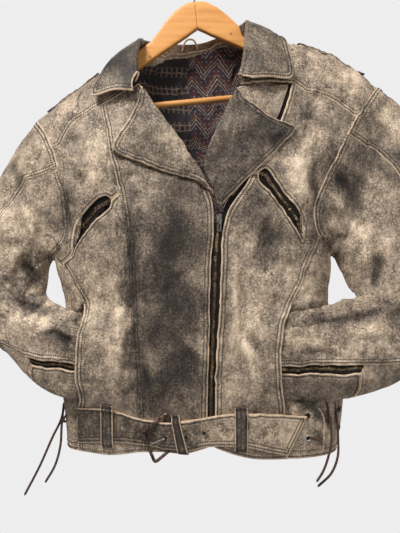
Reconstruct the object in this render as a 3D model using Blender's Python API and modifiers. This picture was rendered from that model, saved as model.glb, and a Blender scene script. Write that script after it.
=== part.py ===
"""A worn leather biker jacket hanging on a wooden coat hanger.

Metres, +Z up. The origin is the inside top of the hanger's hook, where a rail or a wall hook
carries everything. +X is to the right of someone facing the jacket, +Y is away from that person,
towards the wall. The jacket is a flat, hollow tube of leather panels. Its front, back and side
panels share one form: a rounded section at each height that closes over the shoulder ridge.
Panels are cut on that form between named seams, and seams that meet share their points, so each
pair of neighbours is a stitch gap apart. Sleeves are tubes through sections listed by hand, and
both cuffs are tucked into the slash pockets at the side fronts.
"""
import bpy
import bmesh
import numpy as np
from mathutils import Matrix

for old_object in list(bpy.data.objects):
    bpy.data.objects.remove(old_object)

MM = 0.001

# ---- driving dimensions -------------------------------------------------------------------
LEATHER = 1.8 * MM              # one layer of garment leather
DOUBLE_LEATHER = 2.6 * MM       # collar and belt: two layers bonded and stitched
TAPE = 0.9 * MM                 # woven zip tape
SEAM_EASE = 0.25 * MM           # each panel stops this far short of its seam line
CLEAR = 0.4 * MM                # pieces that lie on each other
TAPE_DROP = LEATHER + 0.8 * MM  # zip tape behind the leather it is sewn to

DEPTH_CENTRE = -15 * MM         # Y of the side silhouette
SQUARENESS = 2.5                # of the body section, a superellipse
RIDGE_SQUARENESS = 2.3          # of the rise from the chest to the shoulder ridge
FRONT_RISE = -420 * MM          # height from which the front leans back to the ridge
BACK_RISE = -300 * MM           # the same for the back

POCKET_TOP, POCKET_BOTTOM = -560 * MM, -722 * MM
POCKET_FRONT = -98 * MM         # Y of the front panel where a cuff fills the pocket
POCKET_BACK = -56 * MM          # Y of the side panel behind that cuff
POCKET_DEPTH = 50 * MM          # how far the side panel runs on behind the front panel

LACE_DIAMETER = 3.2 * MM
HOOK_WIRE = 3.8 * MM
ARM_BOARD = 12.5 * MM
ROD_DIAMETER = 10 * MM
HANGER_TILT = np.radians(5.5)
HANGER_APEX = -62 * MM

# ---- the body form: one row for each height, in millimetres ----------------------------------
#       height  centre x  half width  front depth  back depth
BODY = [(-800, 11.5, 217.5, 62, 56),
        (-745, 14.0, 224.0, 66, 58),
        (-650, 9.5, 229.5, 70, 60),
        (-570, 4.5, 213.5, 70, 60),
        (-500, -2.0, 223.0, 70, 60),
        (-450, -6.0, 230.0, 70, 60),
        (-400, 0.0, 246.0, 70, 60),
        (-350, 7.0, 275.0, 70, 60),
        (-300, 12.0, 315.0, 70, 60),
        (-220, 20.0, 360.0, 70, 60),
        (-100, 20.0, 360.0, 70, 60)]

# The shoulder ridge, left to right.
#         x    height
RIDGE = [(-340, -318), (-259, -264), (-210, -226.5), (-163, -188.5), (-100, -137), (-50, -116),
         (0, -107), (50, -108), (100, -117.5), (174, -137.5), (234, -160), (298, -207.5),
         (360, -262)]


def smooth_table(rows, column=1):
    """A smooth curve through the rows, read at the first column (cubic, with averaged slopes)."""
    table = np.array(rows, float) * MM
    at, value = table[:, 0], table[:, column]
    step = np.diff(at)
    slope = np.diff(value) / step
    tangent = np.empty_like(value)
    tangent[1:-1] = (slope[:-1] * step[1:] + slope[1:] * step[:-1]) / (step[:-1] + step[1:])
    tangent[0], tangent[-1] = slope[0], slope[-1]

    def read(query):
        query = np.clip(np.asarray(query, float), at[0], at[-1])
        row = np.clip(np.searchsorted(at, query, side="right") - 1, 0, len(step) - 1)
        t = (query - at[row]) / step[row]
        return ((2 * t**3 - 3 * t**2 + 1) * value[row] + (t**3 - 2 * t**2 + t) * step[row] * tangent[row]
                + (3 * t**2 - 2 * t**3) * value[row + 1] + (t**3 - t**2) * step[row] * tangent[row + 1])
    return read


centre_x, half_width, front_depth, back_depth = (smooth_table(BODY, column) for column in (1, 2, 3, 4))
ridge_height = smooth_table(RIDGE)


def unit(vectors):
    return vectors / np.linalg.norm(vectors, axis=-1, keepdims=True)


def ramp(value, start, end):
    """0 before start, 1 after end, smooth between."""
    t = np.clip((np.asarray(value, float) - start) / (end - start), 0, 1)
    return t * t * (3 - 2 * t)


def pocket_fullness(z):
    """How far a tucked cuff holds the pocket open: 0 at its ends, 1 in the middle."""
    middle, half = (POCKET_TOP + POCKET_BOTTOM) / 2, (POCKET_TOP - POCKET_BOTTOM) / 2
    return np.clip(1 - np.abs((z - middle) / half) ** 3, 0, 1)


def section_depth(x, z):
    """The superellipse's height at x, from 1 on the centre line to 0 at the side silhouette."""
    across = np.clip(np.abs((x - centre_x(z)) / half_width(z)), 0, 1)
    return (1 - across**SQUARENESS) ** (1 / SQUARENESS)


def rise_factor(x, z, start):
    """1 on the flat of the chest or back, falling to 0 at the shoulder ridge."""
    rise = np.clip((z - start) / (ridge_height(x) - start), 0, 1)
    return (1 - rise**RIDGE_SQUARENESS) ** (1 / RIDGE_SQUARENESS)


def front_y(x, z):
    """The jacket's front surface, with both pockets filled."""
    y = DEPTH_CENTRE - front_depth(z) * section_depth(x, z)
    cuff = ramp(-x, 85 * MM, 122 * MM) + ramp(x, 42 * MM, 88 * MM)
    y = y + (POCKET_FRONT - y) * pocket_fullness(z) * cuff
    return y * rise_factor(x, z, FRONT_RISE)


def back_y(x, z):
    """The jacket's back surface."""
    return (DEPTH_CENTRE + back_depth(z) * section_depth(x, z)) * rise_factor(x, z, BACK_RISE)


# ---- from a flat pattern to the form ---------------------------------------------------------
def on_front(pattern):
    """Pattern (x, z) laid on the front."""
    x, z = pattern[..., 0], pattern[..., 1]
    return np.stack([x, front_y(x, z), z], axis=-1)


def on_side(pattern):
    """Pattern (angle, z) wrapped round the side: angle 0 is the right silhouette, pi the left."""
    angle, z = pattern[..., 0], pattern[..., 1]
    power = 2 / SQUARENESS
    cosine, sine = np.cos(angle), np.sin(angle)
    x = centre_x(z) + half_width(z) * np.sign(cosine) * np.abs(cosine) ** power
    depth = np.where(sine > 0, -front_depth(z), back_depth(z))
    y = DEPTH_CENTRE + depth * np.abs(sine) ** power
    return np.stack([x, y + pocket_fullness(z) * np.clip(POCKET_BACK - y, 0, None), z], axis=-1)


def side_angle(x, z, back=False):
    """The angle of on_side for a point given by its x and height."""
    across = np.clip((x - centre_x(z)) / half_width(z), -1, 1)
    angle = np.arccos(np.sign(across) * np.abs(across) ** (SQUARENESS / 2))
    return 2 * np.pi - angle if back else angle


def rising(pattern, start, y_of):
    """Pattern (x, climb) where climb runs evenly up the flat and over the rounded shoulder."""
    x, climb = pattern[..., 0], pattern[..., 1]
    height = ridge_height(x) - start
    angle = np.clip(climb / height, 0, None) * np.pi / 2
    power = 2 / RIDGE_SQUARENESS
    z = np.where(climb > 0, start + height * np.abs(np.sin(angle)) ** power, start + climb)
    lean = np.where(climb > 0, np.sign(np.cos(angle)) * np.abs(np.cos(angle)) ** power, 1.0)
    return np.stack([x, y_of(x, z) * lean, z], axis=-1)


def front_flat(x, z):
    return DEPTH_CENTRE - front_depth(z) * section_depth(x, z)


def back_flat(x, z):
    return DEPTH_CENTRE + back_depth(z) * section_depth(x, z)


def on_yoke(pattern):
    return rising(pattern, FRONT_RISE, front_flat)


def on_back(pattern):
    return rising(pattern, BACK_RISE, back_flat)


def to_climb(points, start):
    """Pattern (x, z) as (x, climb)."""
    x, z = points[:, 0], points[:, 1]
    height = ridge_height(x) - start
    rise = np.clip((z - start) / height, 0, 1)
    climb = height * np.arcsin(rise ** (RIDGE_SQUARENESS / 2)) * 2 / np.pi
    return np.stack([x, np.where(z > start, climb, z - start)], axis=-1)


def normals(place, pattern):
    """Outward unit normals of a placed pattern, from its neighbours on the true form."""
    step = 1e-5
    across, along = np.array([step, 0]), np.array([0, step])
    normal = np.cross(place(pattern + across) - place(pattern - across),
                      place(pattern + along) - place(pattern - along))
    normal /= np.linalg.norm(normal, axis=-1, keepdims=True)
    point = place(pattern)
    inside = point * np.array([0.8, 0.0, 1.0]) - np.array([0.0, 0.0, 0.03])
    outward = np.sum(normal * (point - inside), axis=-1, keepdims=True)
    return np.where(outward < 0, -normal, normal)


# ---- seams and patches -----------------------------------------------------------------------
def curve(points, pieces):
    """A smooth line through points in millimetres, cut into equal pieces or at given shares."""
    shares = np.linspace(0, 1, pieces + 1) if np.isscalar(pieces) else np.array(pieces)
    points = np.array(points, float) * MM
    run = np.r_[0, np.cumsum(np.linalg.norm(np.diff(points, axis=0), axis=1))]
    fine = np.linspace(0, run[-1], 40 * len(points))
    rows = np.c_[run, points]
    line = np.stack([smooth_table(rows / MM, column)(fine) for column in range(1, rows.shape[1])], axis=-1)
    length = np.r_[0, np.cumsum(np.linalg.norm(np.diff(line, axis=0), axis=1))]
    at = shares * length[-1]
    return np.stack([np.interp(at, length, line[:, column]) for column in range(line.shape[1])], axis=-1)


def at_heights(points, heights):
    """A smooth line through (x, z) points, read at the given heights, all in millimetres."""
    table = np.array(points, float)[::-1]
    heights = np.array(heights) * MM
    return np.stack([smooth_table(table[:, ::-1])(heights), heights], axis=-1)


def join(*lines):
    """Lines end to end, each starting where the last one stops."""
    return np.concatenate([lines[0]] + [line[1:] for line in lines[1:]])


def patch(bottom, top, left, right):
    """The smooth grid between four edges: grid[i, j], i to the right, j upwards.

    A Coons patch, but the bends of the bottom and top edges die out faster than evenly.
    """
    u = np.linspace(0, 1, len(bottom))[:, None, None]
    v = np.linspace(0, 1, len(left))[None, :, None]
    rows = (1 - u) * left[None] + u * right[None]
    bend_low = bottom[:, None] - (1 - u) * bottom[0] - u * bottom[-1]
    bend_high = top[:, None] - (1 - u) * top[0] - u * top[-1]
    return rows + (1 - v) ** 2 * bend_low + v**2 * bend_high


def eased(outer):
    """The grid with each edge drawn in by the seam ease."""
    moved = outer.copy()
    for axis in (0, 1):
        grid = np.swapaxes(outer, 0, axis)
        shift = np.swapaxes(moved, 0, axis)
        for edge, inner in ((0, 1), (-1, -2)):
            way = grid[inner] - grid[edge]
            shift[edge] += SEAM_EASE * way / np.linalg.norm(way, axis=-1, keepdims=True)
    return moved


# ---- objects ---------------------------------------------------------------------------------
jacket = bpy.data.collections.new("worn_leather_jacket_on_hanger")
bpy.context.scene.collection.children.link(jacket)


def material(name, colour, roughness, metallic=0.0):
    made = bpy.data.materials.new(name)
    made.use_nodes = True
    shader = made.node_tree.nodes["Principled BSDF"]
    shader.inputs["Base Color"].default_value = (*colour, 1.0)
    shader.inputs["Roughness"].default_value = roughness
    shader.inputs["Metallic"].default_value = metallic
    return made


leather = material("tan_grey_leather", (0.27, 0.21, 0.16), 0.62)
dark_leather = material("dark_rubbed_leather", (0.10, 0.08, 0.075), 0.58)
zip_tape = material("black_zip_tape", (0.015, 0.015, 0.018), 0.85)
antique_brass = material("antique_brass", (0.17, 0.12, 0.07), 0.42, 1.0)
bronze_buckle = material("dark_bronze_buckle", (0.12, 0.09, 0.08), 0.4, 1.0)
bright_steel = material("bright_steel", (0.6, 0.58, 0.55), 0.3, 1.0)
lacquered_wood = material("lacquered_pine", (0.82, 0.46, 0.16), 0.38)
printed_lining = material("printed_cotton_lining", (0.09, 0.05, 0.05), 0.8)
lace_leather = material("brown_lace", (0.11, 0.06, 0.035), 0.6)


def add_object(name, mesh, surface):
    mesh.materials.append(surface)
    made = bpy.data.objects.new(name, mesh)
    jacket.objects.link(made)
    return made


def shell(name, outer, inward, surface):
    """A closed wall from a grid of outer points and the vectors from each to the inner face."""
    inner = outer + inward
    columns, rows = outer.shape[:2]
    index = np.arange(columns * rows).reshape(columns, rows)
    middle = columns // 2, rows // 2
    face_normal = np.cross(outer[middle[0], middle[1] - 1] - outer[middle[0] - 1, middle[1] - 1],
                           outer[middle[0] - 1, middle[1]] - outer[middle[0] - 1, middle[1] - 1])
    flip = np.dot(face_normal, inward[middle]) > 0
    faces = []
    for i in range(columns - 1):
        for j in range(rows - 1):
            a, b, c, d = index[i, j], index[i + 1, j], index[i + 1, j + 1], index[i, j + 1]
            halves = [(a, b, c), (a, c, d)] if (i + j) % 2 else [(a, b, d), (b, c, d)]
            faces += [half[::-1] if flip else half for half in halves]
    back = [tuple(corner + columns * rows for corner in face[::-1]) for face in faces]
    rim = np.concatenate([index[:-1, 0], index[-1, :-1], index[:0:-1, -1], index[0, :0:-1]])
    sides = []
    for a, b in zip(rim, np.roll(rim, -1)):
        wall = [(b, a, a + columns * rows), (b, a + columns * rows, b + columns * rows)]
        sides += [side[::-1] if flip else side for side in wall]
    mesh = bpy.data.meshes.new(name)
    points = np.concatenate([outer.reshape(-1, 3), inner.reshape(-1, 3)])
    mesh.from_pydata(points.tolist(), [], [tuple(map(int, face)) for face in faces + back + sides])
    mesh.update()
    return add_object(name, mesh, surface)


def panel(name, place, pattern, surface=leather, thickness=LEATHER, proud=0.0, edges=()):
    """A cut panel on the form. proud lifts it off the form; edges swaps in shared edge vectors."""
    normal = normals(place, pattern)
    outer = place(pattern) + proud * normal
    inward = -thickness * normal
    for rows, shared in edges:
        inward[rows] = -thickness * shared
    return shell(name, eased(outer), inward, surface)


def tube(name, points, diameter, surface, closed=False, resolution=2):
    """A round wire or cord along points in metres."""
    data = bpy.data.curves.new(name, "CURVE")
    data.dimensions = "3D"
    data.bevel_depth = diameter / 2
    data.bevel_resolution = resolution
    data.use_fill_caps = True
    spline = data.splines.new("POLY")
    spline.points.add(len(points) - 1)
    for point, place in zip(spline.points, points):
        point.co = (*place, 1.0)
    spline.use_cyclic_u = closed
    return add_object(name, data, surface)


def box(name, size, surface, bevel):
    """A bevelled block about its own origin."""
    mesh = bpy.data.meshes.new(name)
    form = bmesh.new()
    bmesh.ops.create_cube(form, size=1.0)
    bmesh.ops.scale(form, vec=size, verts=form.verts)
    form.to_mesh(mesh)
    form.free()
    made = add_object(name, mesh, surface)
    rounding = made.modifiers.new("rounding", "BEVEL")
    rounding.width = bevel
    rounding.segments = 1
    return made


# ---- seam lines, in millimetres (x, height) --------------------------------------------------
YOKE_LEFT = [(-217, -322), (-206, -314), (-197, -298), (-185, -279), (-166, -267), (-144, -253)]
YOKE_LEFT_HIDDEN = [(-144, -253), (-115, -236), (-86, -222)]
YOKE_RIGHT = [(150, -221), (171, -232), (196, -239), (215, -248), (237, -260), (250, -269)]
YOKE_RIGHT_HIDDEN = [(70, -223), (110, -217), (150, -221)]
NECK_LEFT = [(-86, -222), (-92, -200), (-97, -175), (-101, -137.8)]
NECK_RIGHT = [(70, -223), (79, -197), (88, -165), (97, -116.8)]
NECK_BACK = [(-101, -137.8), (-82, -139), (-60, -139), (-20, -134), (25, -125), (62, -117), (80, -115),
             (97, -116.8)]

ARMHOLE_LEFT_TOP = [(-259, -264), (-235, -291), (-217, -322)]
ARMHOLE_LEFT = [(-217, -322), (-208, -353), (-199, -381), (-195, -412), (-194, -445), (-199, -461),
                (-211, -474), (-223, -484)]
ARMHOLE_RIGHT_TOP = [(298, -207.5), (275, -235), (250, -269)]
ARMHOLE_RIGHT = [(250, -269), (233, -297), (212, -342), (197, -373), (187, -400), (183, -425),
                 (187, -443), (195, -458)]
ARMHOLE_BACK_LEFT = [(-219, -484), (-214, -455), (-214, -410), (-220, -360), (-236, -310), (-259, -264)]
ARMHOLE_BACK_RIGHT = [(212, -474), (206, -440), (208, -390), (224, -330), (255, -270), (298, -207.5)]

PRINCESS = [(-144, -253), (-136, -294), (-130, -328), (-120, -364), (-113, -390), (-103, -456),
            (-99, -492), (-95, -598), (-87, -704), (-84, -785)]
FRONT_EDGE_LEFT = [(-223, -484), (-209, -497), (-194, -521), (-178, -549), (-169, -566),
                   (-168, -580), (-173, -604), (-175, -642), (-176, -674), (-174, -705),
                   (-181, -720), (-183, -778), (-183, -791)]
FRONT_EDGE_RIGHT = [(195, -458), (176, -497), (161, -533), (145, -564), (134, -587), (130, -607),
                    (127, -642), (129, -673), (133, -696), (137, -716), (139, -757), (143, -798)]
ZIP_EDGE_LEFT = [(-86, -222), (-68, -244), (-43, -280), (-19, -316), (-2, -342), (14, -366),
                 (19, -383), (25, -396), (28, -411), (29, -440), (26, -492), (20, -721), (20, -777)]
ZIP_EDGE_RIGHT = [(150, -221), (131, -277), (108, -320), (85, -360), (78, -376), (62, -399), (50, -420),
                  (45, -437), (41, -462), (40, -492), (31, -718), (31, -777)]
HEM_LEFT_SIDE = [(-183, -791), (-164, -791), (-131, -792), (-84, -785)]
HEM_LEFT_FRONT = [(-84, -785), (-50, -784), (-13, -786), (20, -777)]
HEM_RIGHT = [(31, -777), (60, -788), (83, -794), (143, -798)]

# The chest pockets: each mouth is a crescent between an upper arc and a lower edge.
POCKET_LEFT_ARC = [(-190, -483), (-188, -455), (-183, -437), (-170, -421), (-157, -407),
                   (-145, -398), (-134, -395), (-126, -401)]
POCKET_LEFT_EDGE = [(-190, -483), (-186, -476), (-176, -461), (-164, -445), (-153, -433), (-139, -421),
                    (-128, -411), (-126, -401)]
POCKET_RIGHT_ARC = [(97, -360), (106, -354), (123, -373), (140, -394), (161, -419), (168, -445),
                    (167, -461)]
POCKET_RIGHT_EDGE = [(97, -360), (97, -368), (114, -388), (136, -415), (157, -446), (167, -461)]

# Heights of the rows that cross a tucked cuff, shared by every panel beside the pockets.
POCKET_ROWS = [-575, -603, -640, -675, -703, -722, -757]
ZIP_LEFT_HEIGHTS = [-222, -250, -280, -311, -342, -366, -396, -455, -525] + POCKET_ROWS + [-777]
PRINCESS_HEIGHTS = [-253, -276, -300, -322, -344, -366, -390, -455, -525] + POCKET_ROWS + [-785]
EDGE_LEFT_HEIGHTS = [-484, -497, -524, -555] + POCKET_ROWS + [-791]
EDGE_RIGHT_HEIGHTS = [-458, -497, -524, -555] + POCKET_ROWS + [-798]
ZIP_RIGHT_HEIGHTS = [-221, -245, -268, -291, -314, -337, -360, -410, -470, -530] + POCKET_ROWS + [-777]
BACK_SEAM_LEFT_HEIGHTS = [-795, -735, -670, -610, -550, -484]
BACK_SEAM_RIGHT_HEIGHTS = [-799, -735, -670, -610, -545, -474]
UNDERARM_LEFT_LOWEST, UNDERARM_RIGHT_LOWEST = -491 * MM, -485 * MM
RIDGE_PIECES = 11

YOKE_ARMHOLE_SHARES = [0, 0.25, 0.6, 1]      # closer together over the rounded shoulder
BACK_ARMHOLE_SHARES = [0, 0.22, 0.44, 0.64, 0.81, 0.93, 1]
YOKE_NECK_SHARES = [0, 0.42, 0.77, 1]
armhole_left_top = curve(ARMHOLE_LEFT_TOP, YOKE_ARMHOLE_SHARES)
armhole_left = curve(ARMHOLE_LEFT, 6)
armhole_back_left = curve(ARMHOLE_BACK_LEFT, BACK_ARMHOLE_SHARES)
armhole_right_top = curve(ARMHOLE_RIGHT_TOP, YOKE_ARMHOLE_SHARES)
armhole_right = curve(ARMHOLE_RIGHT, 6)
armhole_back_right = curve(ARMHOLE_BACK_RIGHT, BACK_ARMHOLE_SHARES)
yoke_left = curve(YOKE_LEFT, 8)
yoke_left_hidden = curve(YOKE_LEFT_HIDDEN, 3)
yoke_right = curve(YOKE_RIGHT, 8)
yoke_right_hidden = curve(YOKE_RIGHT_HIDDEN, 3)
neck_left = curve(NECK_LEFT, YOKE_NECK_SHARES)
neck_right = curve(NECK_RIGHT, YOKE_NECK_SHARES)
neck_back = curve(NECK_BACK, 8)
princess = at_heights(PRINCESS, PRINCESS_HEIGHTS)
zip_left = at_heights(ZIP_EDGE_LEFT, ZIP_LEFT_HEIGHTS)
zip_right = at_heights(ZIP_EDGE_RIGHT, ZIP_RIGHT_HEIGHTS)
front_edge_left = at_heights(FRONT_EDGE_LEFT, EDGE_LEFT_HEIGHTS)
front_edge_right = at_heights(FRONT_EDGE_RIGHT, EDGE_RIGHT_HEIGHTS)


def ridge_line(start, end):
    x = np.linspace(start, end, RIDGE_PIECES + 1)
    return np.stack([x, ridge_height(x)], axis=-1)


ridge_left = ridge_line(armhole_left_top[0, 0], neck_left[-1, 0])
ridge_right = ridge_line(neck_right[-1, 0], armhole_right_top[0, 0])


def underarm(front_corner, back_corner, lowest):
    """The armhole across the side panel, from its front corner to its back one."""
    turn = 2 * np.pi if front_corner[0] > 0 else 0
    start = float(side_angle(*front_corner))
    end = float(side_angle(*back_corner, back=True)) - turn
    t = np.linspace(0, 1, 5)
    dip = lowest - (front_corner[1] + back_corner[1]) / 2
    height = (1 - t) * front_corner[1] + t * back_corner[1] + 4 * t * (1 - t) * dip
    return np.stack([start + t * (end - start), height], axis=-1)


under_left = underarm(armhole_left[-1], armhole_back_left[0], UNDERARM_LEFT_LOWEST)
under_right = underarm(armhole_right[-1], armhole_back_right[0], UNDERARM_RIGHT_LOWEST)


def armhole_ring(top, front, side, back):
    """The armhole from the shoulder tip down the front and up the back, and the body's normals."""
    pieces = [(on_yoke, to_climb(top, FRONT_RISE)), (on_front, front), (on_side, side),
              (on_back, to_climb(back, BACK_RISE))]
    points = np.concatenate([place(pattern)[:-1] for place, pattern in pieces])
    facing = np.concatenate([normals(place, pattern)[:-1] for place, pattern in pieces])
    return points, facing


# ---- sleeves: one row for each section -------------------------------------------------------
# Outer is the elbow side and inner the side nearer the body, both x and height. Depth is Y of the
# section's middle. The seams are angles round the section: 0 outer, 90 front, 180 inner, -90 back.
#               outer       inner       depth  half   square- front  back
#              x     z     x     z             thick  ness    seam   seam
SLEEVE_LEFT = [(-281, -295, -235, -492, -12.0, 40.0, 2.2, 76, -66),
               (-307, -339, -238, -500, -14.0, 41.0, 2.2, 77, -55),
               (-332, -388, -240, -511, -16.0, 40.0, 2.2, 70, -42),
               (-353, -449, -240, -524, -21.0, 38.0, 2.2, 64, -28),
               (-364, -514, -240, -538, -28.0, 36.0, 2.2, 72, -14),
               (-358, -571, -238, -549, -36.0, 34.0, 2.1, 97,   0),
               (-333, -609, -230, -555, -45.0, 31.0, 2.0, 118,  16),
               (-298, -632, -220, -559, -54.0, 28.0, 1.9, 130,  36),
               (-264, -665, -205, -564, -63.0, 24.0, 1.8, 136,  58),
               (-228, -691, -176, -575, -72.0, 19.5, 1.7, 142,  76),
               (-190, -702, -148, -592, -76.5, 16.0, 1.7, 143,  86),
               (-163, -694, -121, -611, -77.0, 13.5, 1.7, 143,  88)]
SLEEVE_RIGHT = [(325, -226, 229, -483, -12.0, 40.0, 2.2, 78, -66),
                (353, -263, 234, -492, -14.0, 42.0, 2.2, 76, -58),
                (378, -311, 239, -504, -16.0, 42.0, 2.2, 74, -48),
                (396, -376, 245, -519, -21.0, 40.0, 2.2, 64, -36),
                (405, -457, 250, -534, -28.0, 38.0, 2.2, 62, -22),
                (402, -539, 254, -545, -36.0, 36.0, 2.1, 80,  -6),
                (386, -614, 255, -551, -45.0, 33.0, 2.0, 110,  14),
                (346, -657, 246, -552, -54.0, 29.0, 1.9, 126,  38),
                (300, -686, 230, -552, -63.0, 25.0, 1.8, 131,  60),
                (248, -700, 203, -562, -71.0, 21.0, 1.7, 136,  72),
                (197, -706, 169, -568, -76.0, 17.5, 1.7, 136,  76),
                (136, -703, 134, -574, -77.0, 16.5, 1.7, 136,  76),
                (97, -696, 96, -586, -77.0, 15.0, 1.7, 136,  76)]
RING_FRONT_PIECES, RING_BACK_PIECES = 11, 8
FRONT_SEAM_AT, BACK_SEAM_AT = 4, 16      # ring points where the sleeve's two seams start
ZIP_DEGREES = 11                         # the cuff zip's width round the section
ZIP_LAP_DEGREES = 2
SLEEVE_ROWS = 16
ELBOW_ROW = 7                            # the row where upper arm and forearm pieces meet
CUFF_ZIP_LEFT, CUFF_ZIP_RIGHT = 9.2, 9.8  # the section where each cuff's zip starts

ring_angle = np.r_[np.arange(RING_FRONT_PIECES) * 180 / RING_FRONT_PIECES,
                   180 + np.arange(RING_BACK_PIECES) * 180 / RING_BACK_PIECES]


class Sleeve:
    """A tube from an armhole ring (section 0) through the table's sections (1 onwards)."""

    def __init__(self, rows, ring, body_normal):
        table = np.array(rows, float)
        section = np.arange(1, len(rows) + 1) / MM
        self.column = [smooth_table(np.c_[section, table[:, index]]) for index in range(table.shape[1])]
        self.ring = np.vstack([ring, ring[:1]])
        self.last = len(rows)
        angle = np.repeat(ring_angle[:, None], 2, axis=1)
        at_ring = self.normal(angle, np.zeros_like(angle))[:, 0]
        self.mitre = at_ring + body_normal
        self.mitre /= np.linalg.norm(self.mitre, axis=-1, keepdims=True)

    def seam(self, column, start):
        """A seam's angle at each section, from its ring angle to the table's column."""
        def angle(section):
            t = np.clip(section, 0, 1)
            return (1 - t) * start + t * self.column[column](np.clip(section, 1, None)) / MM
        return angle

    def point(self, angle, section):
        value = [column(np.clip(section, 1, None)) for column in self.column]
        outer = np.stack([value[0], value[4], value[1]], axis=-1)
        inner = np.stack([value[2], value[4], value[3]], axis=-1)
        turn = np.radians(angle)
        power = 2 / (value[6] / MM)
        across = np.sign(np.cos(turn)) * np.abs(np.cos(turn)) ** power
        forward = value[5] * np.sign(np.sin(turn)) * np.abs(np.sin(turn)) ** power
        tube_point = (outer + inner) / 2 + (outer - inner) / 2 * across[..., None]
        tube_point[..., 1] -= forward
        at = np.mod(angle, 360)
        ring_point = np.stack([np.interp(at, np.r_[ring_angle, 360], self.ring[:, axis])
                               for axis in range(3)], axis=-1)
        t = np.clip(section, 0, 1)[..., None]
        return (1 - t) * ring_point + t * tube_point

    def normal(self, angle, section):
        """Unit normals out of the tube, from small steps round it and along it."""
        along = self.point(angle, np.minimum(section + 0.01, self.last)) - self.point(
            angle, np.maximum(section - 0.01, 0))
        normal = np.cross(self.point(angle + 0.5, section) - self.point(angle - 0.5, section), along)
        normal /= np.linalg.norm(normal, axis=-1, keepdims=True)
        inside = (self.point(angle, section) + self.point(angle + 180, section)) / 2
        outward = np.sum(normal * (self.point(angle, section) - inside), axis=-1, keepdims=True)
        return np.where(outward < 0, -normal, normal)

    def panel(self, name, first, last, columns, sections, ring_part=None, surface=leather,
              thickness=LEATHER, drop=0.0):
        """The piece between two seams; ring_part lists the ring points its first row shares."""
        share = ((columns - columns[0]) / (columns[-1] - columns[0]))[:, None]
        sections = np.broadcast_to(sections, (len(columns), np.shape(sections)[-1]))
        angle = first(sections) + share * (last(sections) - first(sections))
        normal = self.normal(angle, sections)
        if ring_part is not None:
            normal[:, 0] = self.mitre[ring_part]
        points = self.point(angle, sections) - drop * normal
        return shell(name, eased(points), -thickness * normal, surface)


def make_sleeve(side, rows, ring, body_normal, zip_start):
    """Top and under sleeve, each parted at the elbow, cuff panel, and the tape between the zip's sides."""
    made = Sleeve(rows, ring, body_normal)
    front_seam = made.seam(7, ring_angle[FRONT_SEAM_AT])
    back_seam = made.seam(8, ring_angle[BACK_SEAM_AT] - 360)

    def zip_edge(section):
        return back_seam(section) + 360 - ZIP_DEGREES * ramp(section, zip_start - 0.8, zip_start)

    top_part = np.r_[np.arange(BACK_SEAM_AT, len(ring)), np.arange(FRONT_SEAM_AT + 1)]
    top_columns = np.r_[ring_angle[BACK_SEAM_AT:] - 360, ring_angle[:FRONT_SEAM_AT + 1]]
    under_part = np.arange(FRONT_SEAM_AT, BACK_SEAM_AT + 1)
    under_columns = ring_angle[FRONT_SEAM_AT:BACK_SEAM_AT + 1]
    sections = np.r_[0, 0.5, np.linspace(1, made.last, SLEEVE_ROWS - 2)]
    upper, forearm = slice(0, ELBOW_ROW + 1), slice(ELBOW_ROW, None)
    made.panel(f"sleeve_{side}_top", back_seam, front_seam, top_columns, sections[upper], top_part)
    made.panel(f"forearm_{side}_top", back_seam, front_seam, top_columns, sections[forearm])

    round_panel = np.linspace(0, 1, len(under_columns))[:, None]
    cuff_seam = zip_start + 0.5 * (1 - ramp(round_panel, 0.75, 1.0))
    above = np.tile(sections[sections < zip_start - 0.3], (len(under_columns), 1))
    under_sections = np.hstack([above, cuff_seam])
    made.panel(f"sleeve_{side}_under", front_seam, zip_edge, under_columns, under_sections[:, upper],
               under_part)
    made.panel(f"forearm_{side}_under", front_seam, zip_edge, under_columns, under_sections[:, forearm])
    made.panel(f"cuff_panel_{side}", front_seam, zip_edge, under_columns,
               cuff_seam + np.linspace(0, 1, 5) * (made.last - cuff_seam))
    made.panel(f"cuff_zip_{side}", lambda section: back_seam(section) - ZIP_DEGREES - ZIP_LAP_DEGREES,
               lambda section: back_seam(section) + ZIP_LAP_DEGREES, np.linspace(0, 1, 4),
               np.linspace(zip_start + 0.05, made.last - 0.05, 6), None, zip_tape, TAPE, TAPE_DROP)
    return made.mitre


ring_left, ring_left_normal = armhole_ring(armhole_left_top, armhole_left, under_left, armhole_back_left)
ring_right, ring_right_normal = armhole_ring(armhole_right_top, armhole_right, under_right,
                                             armhole_back_right)
mitre_left = make_sleeve("left", SLEEVE_LEFT, ring_left, ring_left_normal, CUFF_ZIP_LEFT)
mitre_right = make_sleeve("right", SLEEVE_RIGHT, ring_right, ring_right_normal, CUFF_ZIP_RIGHT)

# ---- the body's panels -----------------------------------------------------------------------
TOP_RING = slice(0, 4)           # ring points along the yoke
FRONT_RING = slice(3, 10)        # along the chest
SIDE_RING = slice(9, 14)         # across the side panel
BACK_RING = slice(13, 20)        # up the back panel


def ring_part(mitre, part):
    """The ring's vectors along one edge; the ring closes on its first point."""
    return np.vstack([mitre, mitre[:1]])[part]


def shape_yoke(side, seam, ridge, armhole, neck, mitre):
    """A front yoke from its seam up to the ridge; its columns run from left to right."""
    bottom, top = to_climb(seam, FRONT_RISE), to_climb(ridge, FRONT_RISE)
    at_armhole, at_neck = to_climb(armhole[::-1], FRONT_RISE), to_climb(neck, FRONT_RISE)
    on_left = side == "left"
    pattern = patch(bottom, top, *((at_armhole, at_neck) if on_left else (at_neck, at_armhole)))
    column = 0 if on_left else -1
    panel(f"yoke_{side}", on_yoke, pattern, edges=[(column, ring_part(mitre, TOP_RING)[::-1])])


shape_yoke("left", join(yoke_left, yoke_left_hidden), ridge_left, armhole_left_top, neck_left, mitre_left)
shape_yoke("right", join(yoke_right_hidden, yoke_right), ridge_right, armhole_right_top, neck_right,
           mitre_right)

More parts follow.
